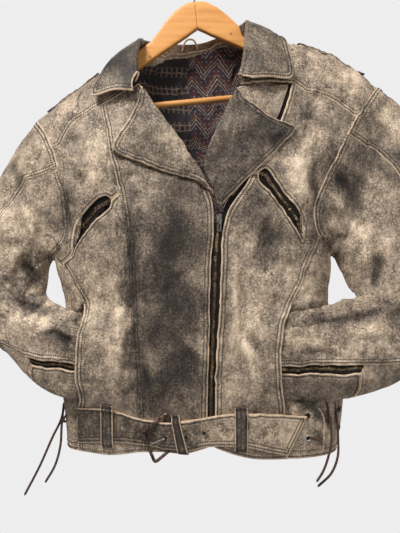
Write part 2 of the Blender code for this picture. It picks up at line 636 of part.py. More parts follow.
pocket_left_arc = curve(POCKET_LEFT_ARC, 5)
pocket_left_edge = curve(POCKET_LEFT_EDGE, 5)
pocket_right_arc = curve(POCKET_RIGHT_ARC, 6)
pocket_right_edge = curve(POCKET_RIGHT_EDGE, 6)
chest_corner = princess[PRINCESS_HEIGHTS.index(-390)][None]
notch = front_edge_left[:2]
zip_corner = zip_right[ZIP_RIGHT_HEIGHTS.index(-360)][None]
side_corner = armhole_right[-1:]

panel("chest_left", on_front,
      patch(np.vstack([notch, pocket_left_arc, chest_corner]), yoke_left, armhole_left[::-1],
            princess[6::-1]),
      edges=[(0, ring_part(mitre_left, FRONT_RING)[::-1])])
panel("side_front_left", on_front,
      patch(curve(HEM_LEFT_SIDE, 7), np.vstack([notch[1:], pocket_left_edge, chest_corner]),
            front_edge_left[:0:-1], np.vstack([princess[:5:-1]])))
panel("center_front_left", on_front,
      patch(curve(HEM_LEFT_FRONT, 3), yoke_left_hidden, princess[::-1], zip_left[::-1]))
panel("chest_right", on_front,
      patch(np.vstack([zip_corner, pocket_right_arc, side_corner]), yoke_right, zip_right[6::-1],
            armhole_right[::-1]),
      edges=[(-1, ring_part(mitre_right, FRONT_RING)[::-1])])
panel("front_right", on_front,
      patch(curve(HEM_RIGHT, 8), np.vstack([zip_corner, pocket_right_edge, side_corner]),
            zip_right[:5:-1], front_edge_right[::-1]))


# ---- side and back panels --------------------------------------------------------------------
BACK_SEAM_ANGLE = 0.42           # radians behind the side silhouette
SIDE_LAP = 6 * MM                # how far the side panel's edge tucks under the front's
SIDE_STEPS = np.array([0.06, 0.25, 0.5, 0.75, 1.0])
UNDER_STEPS = np.linspace(0, 1, 5)


def spread(steps, points):
    """Points read between five evenly spaced ones."""
    return np.stack([np.interp(steps, UNDER_STEPS, points[:, axis]) for axis in range(3)], axis=-1)


def back_seam(side, heights, corner_angle):
    """The seam between side and back, from the hem up to the armhole's corner, as (angle, z)."""
    z = np.array(heights) * MM
    low = -BACK_SEAM_ANGLE if side == "right" else np.pi + BACK_SEAM_ANGLE
    return np.stack([low + (corner_angle - low) * ramp(z, z[-2], z[-1]), z], axis=-1)


def shape_side_panel(side, edge, seam, ring, mitre):
    """The side panel. Its front edge is tucked under the front's, and at the pocket it runs on
    behind it as the pocket's back."""
    sign = 1 if side == "right" else -1
    x, heights = edge[:, 0], edge[:, 1]
    filled = ramp(pocket_fullness(heights), 0.02, 0.25)
    lap = SIDE_LAP + (POCKET_DEPTH - SIDE_LAP) * filled
    lap[:2] = 0
    start = side_angle(x, heights)
    down = (heights - heights[0]) / (heights[-1] - heights[0])
    back_z = seam[-1, 1] + down * (seam[0, 1] - seam[-1, 1])
    back = np.interp(back_z, seam[:, 1], seam[:, 0])
    share = np.tile(np.r_[0, 0, SIDE_STEPS][:, None], (1, len(heights)))
    share[1, :2] = SIDE_STEPS[0] / 2
    angle = start + share * (back - start)
    angle[0] = side_angle(x - sign * lap, heights)
    pattern = np.stack([angle, heights + share * (back_z - heights)], axis=-1)
    normal = normals(on_side, pattern)
    tuck = np.zeros(angle.shape)
    tuck[:2, 1:] = LEATHER + 2 * CLEAR
    outer = on_side(pattern) - tuck[..., None] * normal
    outer[:, 0] = spread(share[:, 0], ring)
    outer[-1], normal[-1] = [np.stack([np.interp(back_z, seam[:, 1], values[:, axis])
                                       for axis in range(3)], axis=-1)
                             for values in (on_side(seam), normals(on_side, seam))]
    outer[-1] += 4 * SEAM_EASE * unit(outer[-2] - outer[-1])
    inward = -LEATHER * normal
    inward[:, 0] = -LEATHER * spread(share[:, 0], mitre)
    shell(f"side_panel_{side}", eased(outer), inward, leather)


side_ring_left = np.vstack([ring_left, ring_left[:1]])[SIDE_RING]
side_ring_right = np.vstack([ring_right, ring_right[:1]])[SIDE_RING]
back_seam_left = back_seam("left", BACK_SEAM_LEFT_HEIGHTS, under_left[-1, 0])
back_seam_right = back_seam("right", BACK_SEAM_RIGHT_HEIGHTS, under_right[-1, 0])
shape_side_panel("left", front_edge_left, back_seam_left, side_ring_left, ring_part(mitre_left, SIDE_RING))
shape_side_panel("right", front_edge_right, back_seam_right, side_ring_right,
                 ring_part(mitre_right, SIDE_RING))

back_left_edge = np.vstack([on_side(back_seam_left)[:-1, [0, 2]], armhole_back_left])
back_right_edge = np.vstack([on_side(back_seam_right)[:-1, [0, 2]], armhole_back_right])
back_top = np.vstack([ridge_left[:-1], neck_back[:-1], ridge_right])
back_hem = np.linspace(back_left_edge[0], back_right_edge[0], len(back_top))
back_pattern = patch(*[to_climb(line, BACK_RISE)
                       for line in (back_hem, back_top, back_left_edge, back_right_edge)])
panel("back_panel", on_back, back_pattern,
      edges=[((0, slice(5, 12)), ring_part(mitre_left, BACK_RING)),
             ((-1, slice(5, 12)), ring_part(mitre_right, BACK_RING))])

# ---- the lining where it shows in the neck ---------------------------------------------------
LINING = 1.0 * MM
LINING_DROP = LEATHER + 0.6 * MM
# its top edge's drop, as a share of the back panel's last row of facets, by column
LINING_FROM_NECK = (0, 2, 4, 8, 10, 12), (0.9, 0.8, 0.2, 0.2, 0.8, 0.9)
lining_part = back_pattern[RIDGE_PIECES - 2:-RIDGE_PIECES + 2, 5:]
from_neck = np.interp(np.arange(len(lining_part)), *LINING_FROM_NECK)[:, None]
lining_normal = normals(on_back, lining_part)
lining_outer = on_back(lining_part) - LINING_DROP * lining_normal
lining_outer[:, -1] += from_neck * (lining_outer[:, -2] - lining_outer[:, -1])
lining_normal[:, -1] += from_neck * (lining_normal[:, -2] - lining_normal[:, -1])
lining_outer[:, -1] -= 2.5 * CLEAR * lining_normal[:, -1]
shell("lining_back", lining_outer, -LINING * lining_normal, printed_lining)

# ---- front zip -------------------------------------------------------------------------------
ZIP_TAPE_LAP = 4 * MM
CHAIN_WIDTH, CHAIN_THICK = 4.6 * MM, 1.6 * MM
SLIDER = (8.4 * MM, 4.4 * MM, 12 * MM)
UNDERLAP_INSET = 6 * MM


def aside(line, distance):
    """The line moved to its left by a distance, in the pattern's plane."""
    along = np.gradient(line, axis=0)
    along /= np.linalg.norm(along, axis=-1, keepdims=True)
    return line + distance * np.stack([-along[:, 1], along[:, 0]], axis=-1)


def strip(first, last, pieces=1):
    """The pattern between two lines of equal length, first on the left."""
    t = np.linspace(0, 1, pieces + 1)[:, None, None]
    return (1 - t) * first[None] + t * last[None]


closed_heights = [-436, -480, -525] + POCKET_ROWS + [-776]
left_of_zip = at_heights(ZIP_EDGE_LEFT, closed_heights)
right_of_zip = at_heights(ZIP_EDGE_RIGHT, closed_heights)
middle_of_zip = (left_of_zip + right_of_zip) / 2
open_right = zip_right[:ZIP_RIGHT_HEIGHTS.index(-410) + 1]
right_free = np.vstack([aside(open_right, -9 * MM), middle_of_zip + [CLEAR, 0]])
right_sewn = np.vstack([aside(open_right, ZIP_TAPE_LAP), right_of_zip + [ZIP_TAPE_LAP, 0]])
panel("zip_tape_left", on_front,
      strip(left_of_zip - [ZIP_TAPE_LAP, 0], middle_of_zip - [CLEAR, 0]), zip_tape, TAPE, -TAPE_DROP)
panel("zip_tape_right", on_front, strip(right_free, right_sewn), zip_tape, TAPE, -TAPE_DROP)
panel("zip_chain", on_front,
      strip(middle_of_zip - [CHAIN_WIDTH / 2, 0], middle_of_zip + [CHAIN_WIDTH / 2, 0]),
      antique_brass, CHAIN_THICK, -TAPE_DROP + CLEAR + CHAIN_THICK)

ROLL_RIGHT = [(70, -226), (60, -239), (40, -280), (28, -305), (19, -328), (16, -350), (25, -367),
              (34, -383), (41, -397)]
UNDERLAP_EDGE = [(150, -225), (131, -277), (108, -320), (85, -360), (78, -376), (62, -399)]
roll_right = curve(ROLL_RIGHT, 9)
underlap_edge = aside(curve(UNDERLAP_EDGE, 9), -UNDERLAP_INSET)
panel("underlap_right", on_front, strip(roll_right, underlap_edge, 4))


def stand(name, centre, normal, up, size, surface, bevel=0.6 * MM):
    """A block set on a surface: size is across, out and along."""
    across = np.cross(normal, up)
    across /= np.linalg.norm(across)
    rise = np.cross(across, normal)
    made = box(name, size, surface, bevel)
    place_object(made, centre, across, normal, rise)
    return made


def place_object(made, centre, across, normal, rise):
    turn = np.eye(4)
    turn[:3, 0], turn[:3, 1], turn[:3, 2], turn[:3, 3] = across, normal, rise, centre
    made.matrix_world = Matrix(turn.tolist())


PULL_THICK = 1.2 * MM


def pull_tab(name, centre, normal, up, width, length, hole, surface):
    """A flat tab with an oblong hole; its origin and local X are the hinge's centre and axis."""
    across = np.cross(normal, up)
    across /= np.linalg.norm(across)
    rise = np.cross(across, normal)
    top = PULL_THICK / 2
    outline = [(-width / 2, top), (width / 2, top), (width / 2, top - length), (-width / 2, top - length)]
    opening = [(-hole[0] / 2, top - hole[1]), (hole[0] / 2, top - hole[1]),
               (hole[0] / 2, top - hole[2]), (-hole[0] / 2, top - hole[2])]
    points = [(x, y, z) for y in (-PULL_THICK / 2, PULL_THICK / 2) for x, z in outline + opening]
    faces = []
    for k in range(4):
        n = (k + 1) % 4
        faces += [(k, n, n + 4, k + 4), (k + 8, k + 12, n + 12, n + 8),
                  (k, k + 8, n + 8, n), (k + 4, n + 4, n + 12, k + 12)]
    mesh = bpy.data.meshes.new(name)
    mesh.from_pydata(points, [], faces)
    form = bmesh.new()
    form.from_mesh(mesh)
    bmesh.ops.recalc_face_normals(form, faces=form.faces)
    form.to_mesh(mesh)
    form.free()
    made = add_object(name, mesh, surface)
    place_object(made, centre, across, normal, rise)


def on_form(x, z, height, place=on_front):
    """A point a given height above the form, and the form's normal there; x and z in millimetres."""
    pattern = np.array([[x, z]]) * MM
    normal = normals(place, pattern)[0]
    return place(pattern)[0] + height * normal, normal


UP = np.array([0.0, 0.0, 1.0])
zip_x = float(middle_of_zip[0, 0]) / MM
slider_at, slider_normal = on_form(zip_x, -429, 0.2 * MM)
stand("zip_slider", slider_at, slider_normal, UP, SLIDER, antique_brass)
pull_at, pull_normal = on_form(zip_x, -430, 0.2 * MM + SLIDER[1] / 2 + CLEAR + PULL_THICK / 2)
pull_tab("zip_pull", pull_at, pull_normal, UP, 6 * MM, 20 * MM, (2.4 * MM, 9 * MM, 16 * MM), antique_brass)

# ---- chest pocket zips -----------------------------------------------------------------------
POCKET_TAPE_LAP = 3 * MM


def pocket_zip(side, arc, edge, slider, direction, drop):
    """The tape behind a pocket's crescent mouth, its slider and its pull."""
    above, below = aside(arc, POCKET_TAPE_LAP), aside(edge, -POCKET_TAPE_LAP)
    pattern = np.swapaxes(strip(below, above, 2), 0, 1)
    panel(f"chest_zip_{side}", on_front, pattern, zip_tape, TAPE, -drop)
    centre, normal = on_form(*slider, 0.0)
    up = -np.array([direction[0], 0.0, direction[1]])
    stand(f"chest_zip_slider_{side}", centre, normal, up, (5.4 * MM, 4.4 * MM, 8 * MM), antique_brass)
    hinge = centre + (4.4 * MM / 2 + CLEAR + PULL_THICK / 2) * normal
    pull_tab(f"chest_zip_pull_{side}", hinge, normal, up, 5 * MM, 17 * MM, (2.2 * MM, 10 * MM, 14 * MM),
             antique_brass)


pocket_zip("left", pocket_left_arc, pocket_left_edge, (-135.5, -408), (-0.9, -0.45), TAPE_DROP + 3 * CLEAR)
pocket_zip("right", pocket_right_arc, pocket_right_edge, (108, -367), (0.5, -0.87), TAPE_DROP)

# ---- lapels ----------------------------------------------------------------------------------
ROLL_RADIUS = 3.4 * MM
LAPEL_EDGE_HEIGHT = 3.2 * MM
#               roll line    free edge
LAPEL_LEFT = [(-80, -229, -84, -240),
              (-68, -244, -88, -257),
              (-55, -262, -100, -281),
              (-43, -280, -114, -300),
              (-31, -298, -124, -321),
              (-19, -316, -113, -333),
              (-8, -333, -82, -345),
              (4, -350, -50, -358),
              (14, -366, -18, -368),
              (22, -380, 4, -375),
              (30, -393, 20, -387)]
LAPEL_RIGHT = [(66, -230, 73, -241),
               (60, -239, 78, -248),
               (51, -257, 98, -263),
               (41, -278, 124, -278),
               (33, -295, 151, -288),
               (28, -307, 152, -297),
               (22, -322, 134, -316),
               (17, -338, 112, -338),
               (16, -350, 92, -357),
               (25, -366, 74, -373),
               (34, -382, 62, -387),
               (41, -395, 54, -397)]


def lapel(side, rows):
    """The folded-back front edge: a half round at the roll line, then flat to the free edge."""
    table = np.array(rows, float) * MM
    roll, free = table[:, :2], table[:, 2:]
    width = np.linalg.norm(free - roll, axis=1)
    way = (free - roll) / width[:, None]
    turn = np.radians([-90, -45, 0, 45, 90])
    distance = [np.full_like(width, ROLL_RADIUS * (1 - np.cos(angle))) for angle in turn]
    height = [np.full_like(width, CLEAR + ROLL_RADIUS * (1 + np.sin(angle))) for angle in turn]
    top = CLEAR + 2 * ROLL_RADIUS
    for t in (0.25, 0.5, 0.75, 1.0):
        distance.append(ROLL_RADIUS + t * (width - ROLL_RADIUS))
        height.append(np.full_like(width, top + (LAPEL_EDGE_HEIGHT - top) * t))
    distance, height = np.array(distance), np.array(height)
    pattern = roll + distance[..., None] * way
    outer = on_front(pattern) + height[..., None] * normals(on_front, pattern)
    normal = grid_normals(outer)
    if normal[-1, len(rows) // 2] @ normals(on_front, pattern)[-1, len(rows) // 2] < 0:
        normal = -normal
    shell(f"lapel_{side}", eased(outer), -LEATHER * normal, leather)


def grid_normals(points):
    """Unit normals of a grid of points, from the points beside each."""
    normal = np.cross(np.gradient(points, axis=0), np.gradient(points, axis=1))
    return normal / np.linalg.norm(normal, axis=-1, keepdims=True)


lapel("left", LAPEL_LEFT)
lapel("right", LAPEL_RIGHT)

# ---- collar: one row for each station from the left gorge round the back to the right ---------
FOLD_RADIUS = 3.6 * MM
LEAF_HEIGHT = 5.0 * MM
LEAF_FULLNESS = 5 * MM
#          neck seam            fold                 leaf edge
#          x    y    z          x    y    z          x     y    z
COLLAR = [(-89, -71, -220.0, -86.0, -79, -208, -91, -86, -238),
          (-91, -64, -200.0, -89.8, -69, -193, -122, -82, -235),
          (-95, -50, -178.0, -90.6, -55, -173, -158, -70, -239),
          (-96.4, -34.8, -157.0, -89.5, -36, -152, -147, -46, -194),
          (-99, -8, -135.5, -87.0, -12, -131, -138, -22, -170),
          (-90, 13, -137.5, -79.0, 10, -121, -128, 6, -158),
          (-62, 27, -138.0, -58.0, 28, -118, -98, 42, -172),
          (0, 35, -129.5, 0.0, 37, -115, 0, 54, -172),
          (40, 33, -120.0, 36.0, 35, -106, 60, 50, -166),
          (72, 21, -114.0, 63.0, 21, -98, 100, 36, -148),
          (90, 8, -114.5, 80.0, 9, -92, 126, 10, -124),
          (94.5, -11, -118.0, 85.0, -12, -97, 142, -14, -128),
          (90, -35, -141.0, 80.5, -39, -127, 150, -44, -162),
          (85.5, -55, -165.0, 76.6, -64, -165, 150, -73, -212),
          (80, -64, -195.0, 72.4, -76, -194, 112, -84, -216),
          (73, -71, -218.0, 67.5, -83, -212, 86, -86, -218)]
CORE_DEPTH = 60 * MM             # of the line under the ridge that points are moved out from


def outside_form(points, height):
    """Points moved out from a line under the shoulder ridge to stand this far off the jacket."""
    x = points[..., 0]
    core = np.stack([x, 0 * x, ridge_height(x) - CORE_DEPTH], axis=-1)
    moved = points.copy()
    for _ in range(40):
        low = moved[..., 2] - height * ramp(moved[..., 2], core[..., 2], core[..., 2] + CORE_DEPTH)
        front = front_y(x, low) * (1 + height / front_depth(low))
        back = back_y(x, low) * (1 + height / back_depth(low))
        inside = (moved[..., 1] > front) & (moved[..., 1] < back) & (low < ridge_height(x))
        moved = moved + np.where(inside[..., None], 0.5 * MM * unit(moved - core), 0)
    return moved


station = np.arange(len(COLLAR)) / MM
fine = np.linspace(0, len(COLLAR) - 1, 2 * len(COLLAR) - 1)
collar = np.stack([smooth_table(np.c_[station, np.array(COLLAR)[:, column]])(fine)
                   for column in range(9)], axis=-1)
neck, fold, leaf = collar[:, 0:3], collar[:, 3:6], collar[:, 6:9]


rise = unit(fold - neck)
outward = np.cross(rise, unit(np.gradient(fold, axis=0)))
outward = unit(outward * np.sign(np.sum(outward * (leaf - fold), axis=-1, keepdims=True)))
profile = [neck]
fold_centre = fold - FOLD_RADIUS * rise
for angle in np.radians([180, 120, 60, 0]):
    profile.append(fold_centre + FOLD_RADIUS * (np.cos(angle) * outward + np.sin(angle) * rise))
for t in (0.33, 0.67, 1.0):
    flat = profile[4] + t * (leaf - profile[4])
    full = LEAF_FULLNESS * np.sin(np.pi * t) * np.minimum(1, np.linalg.norm(leaf - fold, axis=1) / 0.05)
    profile.append(outside_form(flat + full[:, None] * outward, LEAF_HEIGHT))
collar_outer = np.array(profile)
collar_normal = grid_normals(collar_outer)
if collar_normal[4, 13] @ outward[13] < 0:
    collar_normal = -collar_normal
shell("collar", eased(collar_outer), -DOUBLE_LEATHER * collar_normal, leather)

HANG_LOOP = [(-23, 30, -131), (-20, 29, -120), (-13, 28, -111), (-4, 28, -111), (2, 29, -119),
             (4, 30, -127)]
tube("hang_loop", curve(HANG_LOOP, 12), 3 * MM, leather)

# ---- epaulettes, on the shoulder ridge --------------------------------------------------------
EPAULETTE_HALF = 15 * MM


def epaulette(side, start, end):
    """A strap along the ridge, three layers high, following the shoulder down each side."""
    x = np.linspace(start, end, 7)[:, None] * MM
    y = np.linspace(-EPAULETTE_HALF, EPAULETTE_HALF, 5)[None]
    lean = np.abs(y) / np.where(y < 0, -front_flat(x, ridge_height(x)), back_flat(x, ridge_height(x)))
    start_height = np.where(y < 0, FRONT_RISE, BACK_RISE)
    z = start_height + (ridge_height(x) - start_height) * (1 - lean**RIDGE_SQUARENESS) ** (
        1 / RIDGE_SQUARENESS)
    outer = np.stack(np.broadcast_arrays(x, y, z), axis=-1)
    normal = grid_normals(outer)
    normal *= np.sign(normal[..., 2:])
    lift = CLEAR + DOUBLE_LEATHER + 0.4 * MM
    shell(f"epaulette_{side}", outer + lift * normal, -DOUBLE_LEATHER * normal, dark_leather)


epaulette("left", -240, -158)
epaulette("right", 168, 276)

# ---- belt ------------------------------------------------------------------------------------
BELT_TOP = [(-184, -719), (-144, -717), (-123, -719), (-106, -725), (-90, -730), (-47, -735), (5, -730),
            (40, -724), (82, -721), (112, -724), (148, -728), (180, -732)]
BELT_BOTTOM = [(-184, -777), (-145, -772), (-99, -770), (-72, -773), (-34, -776), (-13, -778), (22, -773),
               (61, -773), (82, -775), (113, -783), (143, -791), (180, -795)]
belt_top, belt_bottom = smooth_table(BELT_TOP), smooth_table(BELT_BOTTOM)
BELT_LOW = 0.6 * MM + DOUBLE_LEATHER


def belt_height(x):
    """The strap's outer face above the form: over the buckle's bar, over the chape, then flat."""
    return (BELT_LOW + 5.8 * MM * ramp(x, -62 * MM, -46 * MM) - 3.0 * MM * ramp(x, -8 * MM, 8 * MM)
            - 2.8 * MM * ramp(x, 112 * MM, 130 * MM))


def belt_pattern(top_x, bottom_x, inset=0.0, rows=3):
    top_x, bottom_x = np.array(top_x) * MM, np.array(bottom_x) * MM
    top = np.stack([top_x, belt_top(top_x) - inset], axis=-1)
    bottom = np.stack([bottom_x, belt_bottom(bottom_x) + inset], axis=-1)
    return np.swapaxes(strip(bottom, top, rows), 0, 1)


top_stations = [-181, -160, -140, -120, -100, -82, -66, -58, -50, -42, -26, -8, 0, 8, 25, 45, 65, 85,
                110, 120, 130, 150, 172]
bottom_stations = [-181, -160, -140, -120, -100, -82, -66, -58, -50, -42, -26, -8, 0, 8, 25, 45, 62, 80,
                   100, 110, 120, 131, 143]
strap = belt_pattern(top_stations, bottom_stations)
panel("belt_strap", on_front, strap, dark_leather, DOUBLE_LEATHER, belt_height(strap[..., :1]))
chape = belt_pattern([-35, -26, -8, 8, 25, 45, 60], [-29, -20, -5, 8, 25, 45, 58], 1 * MM)
panel("belt_chape", on_front, chape, dark_leather, DOUBLE_LEATHER, CLEAR + DOUBLE_LEATHER)

BAR = 3.4 * MM
PRONG = 2.2 * MM
#              x     z     height of the bar's centre
BUCKLE = [(-77, -750, 7.6), (-75.5, -747.5, 7.6), (-60, -736, 7.6), (-48, -726.5, 5.4),
          (-43.5, -723, 4.2), (-41, -723, 4.2), (-40, -728, 4.0), (-37, -745, 4.0), (-34, -768, 4.0),
          (-34.5, -774, 4.0), (-38, -779, 4.6), (-55, -793, 7.6), (-58.5, -794.5, 7.6),
          (-60.5, -792.5, 7.6), (-76.5, -753, 7.6)]
tube("buckle_frame", [on_form(x, z, height * MM)[0] for x, z, height in BUCKLE], BAR, bronze_buckle,
     closed=True, resolution=2)
PRONG_LINE = [(-43, -757.5, 10.8), (-55, -762.5, 11.2), (-70, -769, 11.0)]
tube("buckle_prong", [on_form(x, z, height * MM)[0] for x, z, height in PRONG_LINE], PRONG, bright_steel)

FOOT = 8 * MM
FOOT_HEIGHT = 3 * CLEAR + LEATHER


def band(name, top_x, bottom_x, over):
    """A leather band across the belt, its two ends lying on the jacket above and below it."""
    top_x, bottom_x = np.linspace(*top_x, 3) * MM, np.linspace(*bottom_x, 3) * MM
    top, bottom = belt_top(top_x), belt_bottom(bottom_x)
    slope = (top_x - bottom_x) / (top - bottom)
    rows = [(bottom - FOOT, FOOT_HEIGHT), (bottom - 3.2 * MM, FOOT_HEIGHT), (bottom - 2.6 * MM, over)]
    rows += [(bottom + t * (top - bottom), over) for t in (0.33, 0.67)]
    rows += [(top + 2.6 * MM, over), (top + 3.2 * MM, FOOT_HEIGHT), (top + FOOT, FOOT_HEIGHT)]
    pattern = np.array([np.stack([bottom_x + slope * (z - bottom), z], axis=-1) for z, _ in rows])
    height = np.array([np.full(3, h) for _, h in rows])[..., None]
    outer = on_front(pattern) + height * normals(on_front, pattern)
    normal = grid_normals(outer)
    if normal[4, 1] @ normals(on_front, pattern)[4, 1] < 0:
        normal = -normal
    shell(name, outer, -LEATHER * normal, dark_leather)


band("belt_keeper", (-34, -21), (-26, -10), 9.0 * MM + CLEAR + LEATHER)
band("belt_loop_left", (-142, -123), (-142, -123), BELT_LOW + 2 * CLEAR + LEATHER)
band("belt_loop_right", (60, 80), (60, 80), 6.0 * MM + 2 * CLEAR + LEATHER)

# ---- side laces ------------------------------------------------------------------------------
LACE_GAP = LACE_DIAMETER / 2 + CLEAR
#                     x    y    z
LACES = {"lace_left_a": [(-213.6, -13.5, -722), (-219, -16, -752), (-231, -20, -778), (-252, -22, -826),
                         (-277, -22, -874)],
         "lace_left_b": [(-213.8, -18.5, -724), (-216, -24, -760), (-217, -28, -791), (-225, -30, -822),
                         (-241, -30, -850)],
         "lace_right_a": [(205, -58.6, -712), (211, -58.6, -745), (212, -60, -773), (207, -60, -798),
                          (199, -60, -820), (189, -60, -836)],
         "lace_right_b": [(219, -50.3, -712), (223, -50.5, -740), (225, -51, -774), (224, -52, -800),
                          (214, -53, -825), (192, -54, -846)]}
for lace_name, lace_points in LACES.items():
    tube(lace_name, curve(lace_points, 22), LACE_DIAMETER, lace_leather)

#           name            height   x     z
LACING = [("lacing_left", 1.6, [(-200, -736), (-206, -745), (-210, -757)]),
          ("lacing_right", 0.3, [(176, -764), (186, -768), (198, -768)])]
for lace_name, height, lace_points in LACING:
    flat_line = curve(lace_points, 6)
    lace_line = [on_form(x / MM, z / MM, LACE_GAP + height * MM)[0] for x, z in flat_line]
    tube(lace_name, lace_line, LACE_DIAMETER, lace_leather)

# ---- the hanger ------------------------------------------------------------------------------
#             along  top drop  height, from the apex
HANGER_ARM = [(0.2, 0, 44.5), (12, 0.4, 50.6), (20, 3, 53.0), (35, 12, 51.9), (51, 27, 45.8),
              (65, 43, 37.5), (79, 59, 29.3), (100, 71, 28.9), (130, 88, 28.5), (160, 106, 27.2),
              (180, 117, 27.5), (180.5, 117.3, 54), (210, 134, 40), (214, 138, 33)]
ARM_STATIONS = [0.2, 12, 20, 28, 35, 43, 51, 58, 65, 72.5, 75, 83, 91, 99, 101, 115, 130, 145, 160, 180]
RIDGE_CLEARANCE = LEATHER + 5.0 * MM
HANGER_IN_JACKET = {"left": 93 * MM, "right": 79 * MM}   # the arms are under the shoulders beyond this


def hanger_point(along, drop):
    """Local hanger coordinates turned into the frame: the whole hanger leans to the left."""
    cosine, sine = np.cos(HANGER_TILT), np.sin(HANGER_TILT)
    return along * cosine + drop * sine, HANGER_APEX + along * sine - drop * cosine


def hanger_arm(side):
    """One arm: a flat board whose top is eased where it would press through the shoulder."""
    sign = 1 if side == "right" else -1
    table = np.array(HANGER_ARM) * MM
    at = np.r_[np.array(ARM_STATIONS) * MM, table[-3:, 0]]
    top = np.interp(at, table[:, 0], table[:, 1])
    bottom = top + np.interp(at, table[:, 0], table[:, 2])
    x, z = hanger_point(sign * at, top)
    ceiling = np.where(np.abs(x) > HANGER_IN_JACKET[side], ridge_height(x) - RIDGE_CLEARANCE, 0)
    z = np.minimum(z, ceiling)
    low_x, low_z = hanger_point(sign * at, bottom)
    front = -ARM_BOARD / 2
    outer = np.stack([np.stack([low_x, np.full_like(x, front), low_z], axis=-1),
                      np.stack([x, np.full_like(x, front), z], axis=-1)], axis=1)
    made = shell(f"hanger_arm_{side}", outer, np.array([0, ARM_BOARD, 0]) + 0 * outer, lacquered_wood)
    rounding = made.modifiers.new("rounding", "BEVEL")
    rounding.width = 1.5 * MM
    rounding.segments = 1
    rounding.limit_method = "ANGLE"
    rounding.angle_limit = np.radians(60)


hanger_arm("left")
hanger_arm("right")
ROD_DROP = 164 * MM
rod_ends = [hanger_point(along * MM, ROD_DROP) for along in (-179.9, 179.9)]
tube("hanger_rod", [(rod_ends[0][0], 0, rod_ends[0][1]), (rod_ends[1][0], 0, rod_ends[1][1])],
     ROD_DIAMETER, lacquered_wood, resolution=3)
HOOK_RADIUS = 18 * MM
hook_turn = np.radians(np.linspace(-40, 200, 13))
hook_centre_z = HOOK_WIRE / 2 - HOOK_RADIUS
hook = [(-1 * MM, 0, HANGER_APEX + 0.3 * MM), (-1 * MM, 0, -52 * MM), (0, 0, -44 * MM), (5 * MM, 0, -37 * MM)]
hook += [(HOOK_RADIUS * np.cos(turn), 0, hook_centre_z + HOOK_RADIUS * np.sin(turn)) for turn in hook_turn]
tube("hanger_hook", hook, HOOK_WIRE, bright_steel, resolution=3)
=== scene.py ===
"""Looks of a worn leather biker jacket on its wooden hanger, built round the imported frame.

Metres, +Z up, +X to the right of someone facing the jacket, +Y towards the wall. Leather, lining and
zip tape are grids laid on the jacket's own form: a pattern in two parameters is placed on the body,
the shoulder or a sleeve, moved by the folds, and given its wall. Stitches and zip teeth follow the
edges of those grids. The finishes read Object coordinates, the tone and edge values that each grid
carries, or its UV map in metres.
"""

import bpy
import numpy as np
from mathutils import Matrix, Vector


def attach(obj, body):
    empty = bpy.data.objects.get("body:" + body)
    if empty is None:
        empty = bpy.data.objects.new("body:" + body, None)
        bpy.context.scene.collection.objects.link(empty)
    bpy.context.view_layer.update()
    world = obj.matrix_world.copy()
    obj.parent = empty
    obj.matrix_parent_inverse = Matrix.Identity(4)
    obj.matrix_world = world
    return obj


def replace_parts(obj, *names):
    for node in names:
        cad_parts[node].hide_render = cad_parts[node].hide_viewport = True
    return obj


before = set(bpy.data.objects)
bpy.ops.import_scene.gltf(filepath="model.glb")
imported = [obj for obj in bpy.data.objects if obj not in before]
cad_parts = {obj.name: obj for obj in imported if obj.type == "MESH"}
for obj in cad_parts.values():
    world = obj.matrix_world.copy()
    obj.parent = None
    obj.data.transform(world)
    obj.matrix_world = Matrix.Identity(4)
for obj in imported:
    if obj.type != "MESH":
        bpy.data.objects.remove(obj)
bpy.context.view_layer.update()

MM = 0.001
COAT = "coat"
UP, TO_FRONT = np.array([0.0, 0.0, 1.0]), np.array([0.0, -1.0, 0.0])

# ---- camera ----------------------------------------------------------------------------------
SENSOR = 36.0
CAMERA_AT = (0.00835, -0.835, -0.502)
PICTURE_ANGLE = 2 * np.arctan(533 / 2 / 500)    # the upright picture's height

camera = bpy.data.objects.new("camera", bpy.data.cameras.new("camera"))
camera.data.sensor_width = SENSOR
camera.data.lens = SENSOR / 2 / np.tan(PICTURE_ANGLE / 2)
camera.location = CAMERA_AT
camera.rotation_euler = (np.pi / 2, 0.0, 0.0)
bpy.context.scene.collection.objects.link(camera)
bpy.context.scene.camera = camera
bpy.context.scene.view_settings.view_transform = "Standard"

# ---- driving dimensions ------------------------------------------------------------------------
FINENESS = 7                    # cells of a grid in one cell of the frame's solid
LEATHER = 1.8 * MM
DOUBLE_LEATHER = 2.6 * MM
TAPE = 0.9 * MM
LINING = 1.0 * MM
SEAM_EASE = 0.25 * MM
CLEAR = 0.4 * MM
TAPE_DROP = LEATHER + 0.8 * MM
DEPTH_CENTRE = -15 * MM
SQUARENESS = 2.5
RIDGE_SQUARENESS = 2.3
FRONT_RISE = -420 * MM
BACK_RISE = -300 * MM
POCKET_TOP, POCKET_BOTTOM = -560 * MM, -722 * MM
POCKET_FRONT = -98 * MM
POCKET_BACK = -56 * MM
POCKET_DEPTH = 50 * MM
LACE_DIAMETER = 3.2 * MM
HOOK_WIRE = 3.8 * MM
ARM_BOARD = 12.5 * MM
ROD_DIAMETER = 10 * MM
HANGER_TILT = np.radians(5.5)
HANGER_APEX = -62 * MM

# ---- the body form: one row for each height, in millimetres ----------------------------------
#   height  centre x  half width  front depth  back depth
BODY = [
    (-800, 11.5, 217.5, 62, 56),
    (-745, 14.0, 224.0, 66, 58),
    (-650, 9.5, 229.5, 70, 60),
    (-570, 4.5, 213.5, 70, 60),
    (-500, -2.0, 223.0, 70, 60),
    (-450, -6.0, 230.0, 70, 60),
    (-400, 0.0, 246.0, 70, 60),
    (-350, 7.0, 275.0, 70, 60),
    (-300, 12.0, 315.0, 70, 60),
    (-220, 20.0, 360.0, 70, 60),
    (-100, 20.0, 360.0, 70, 60)]

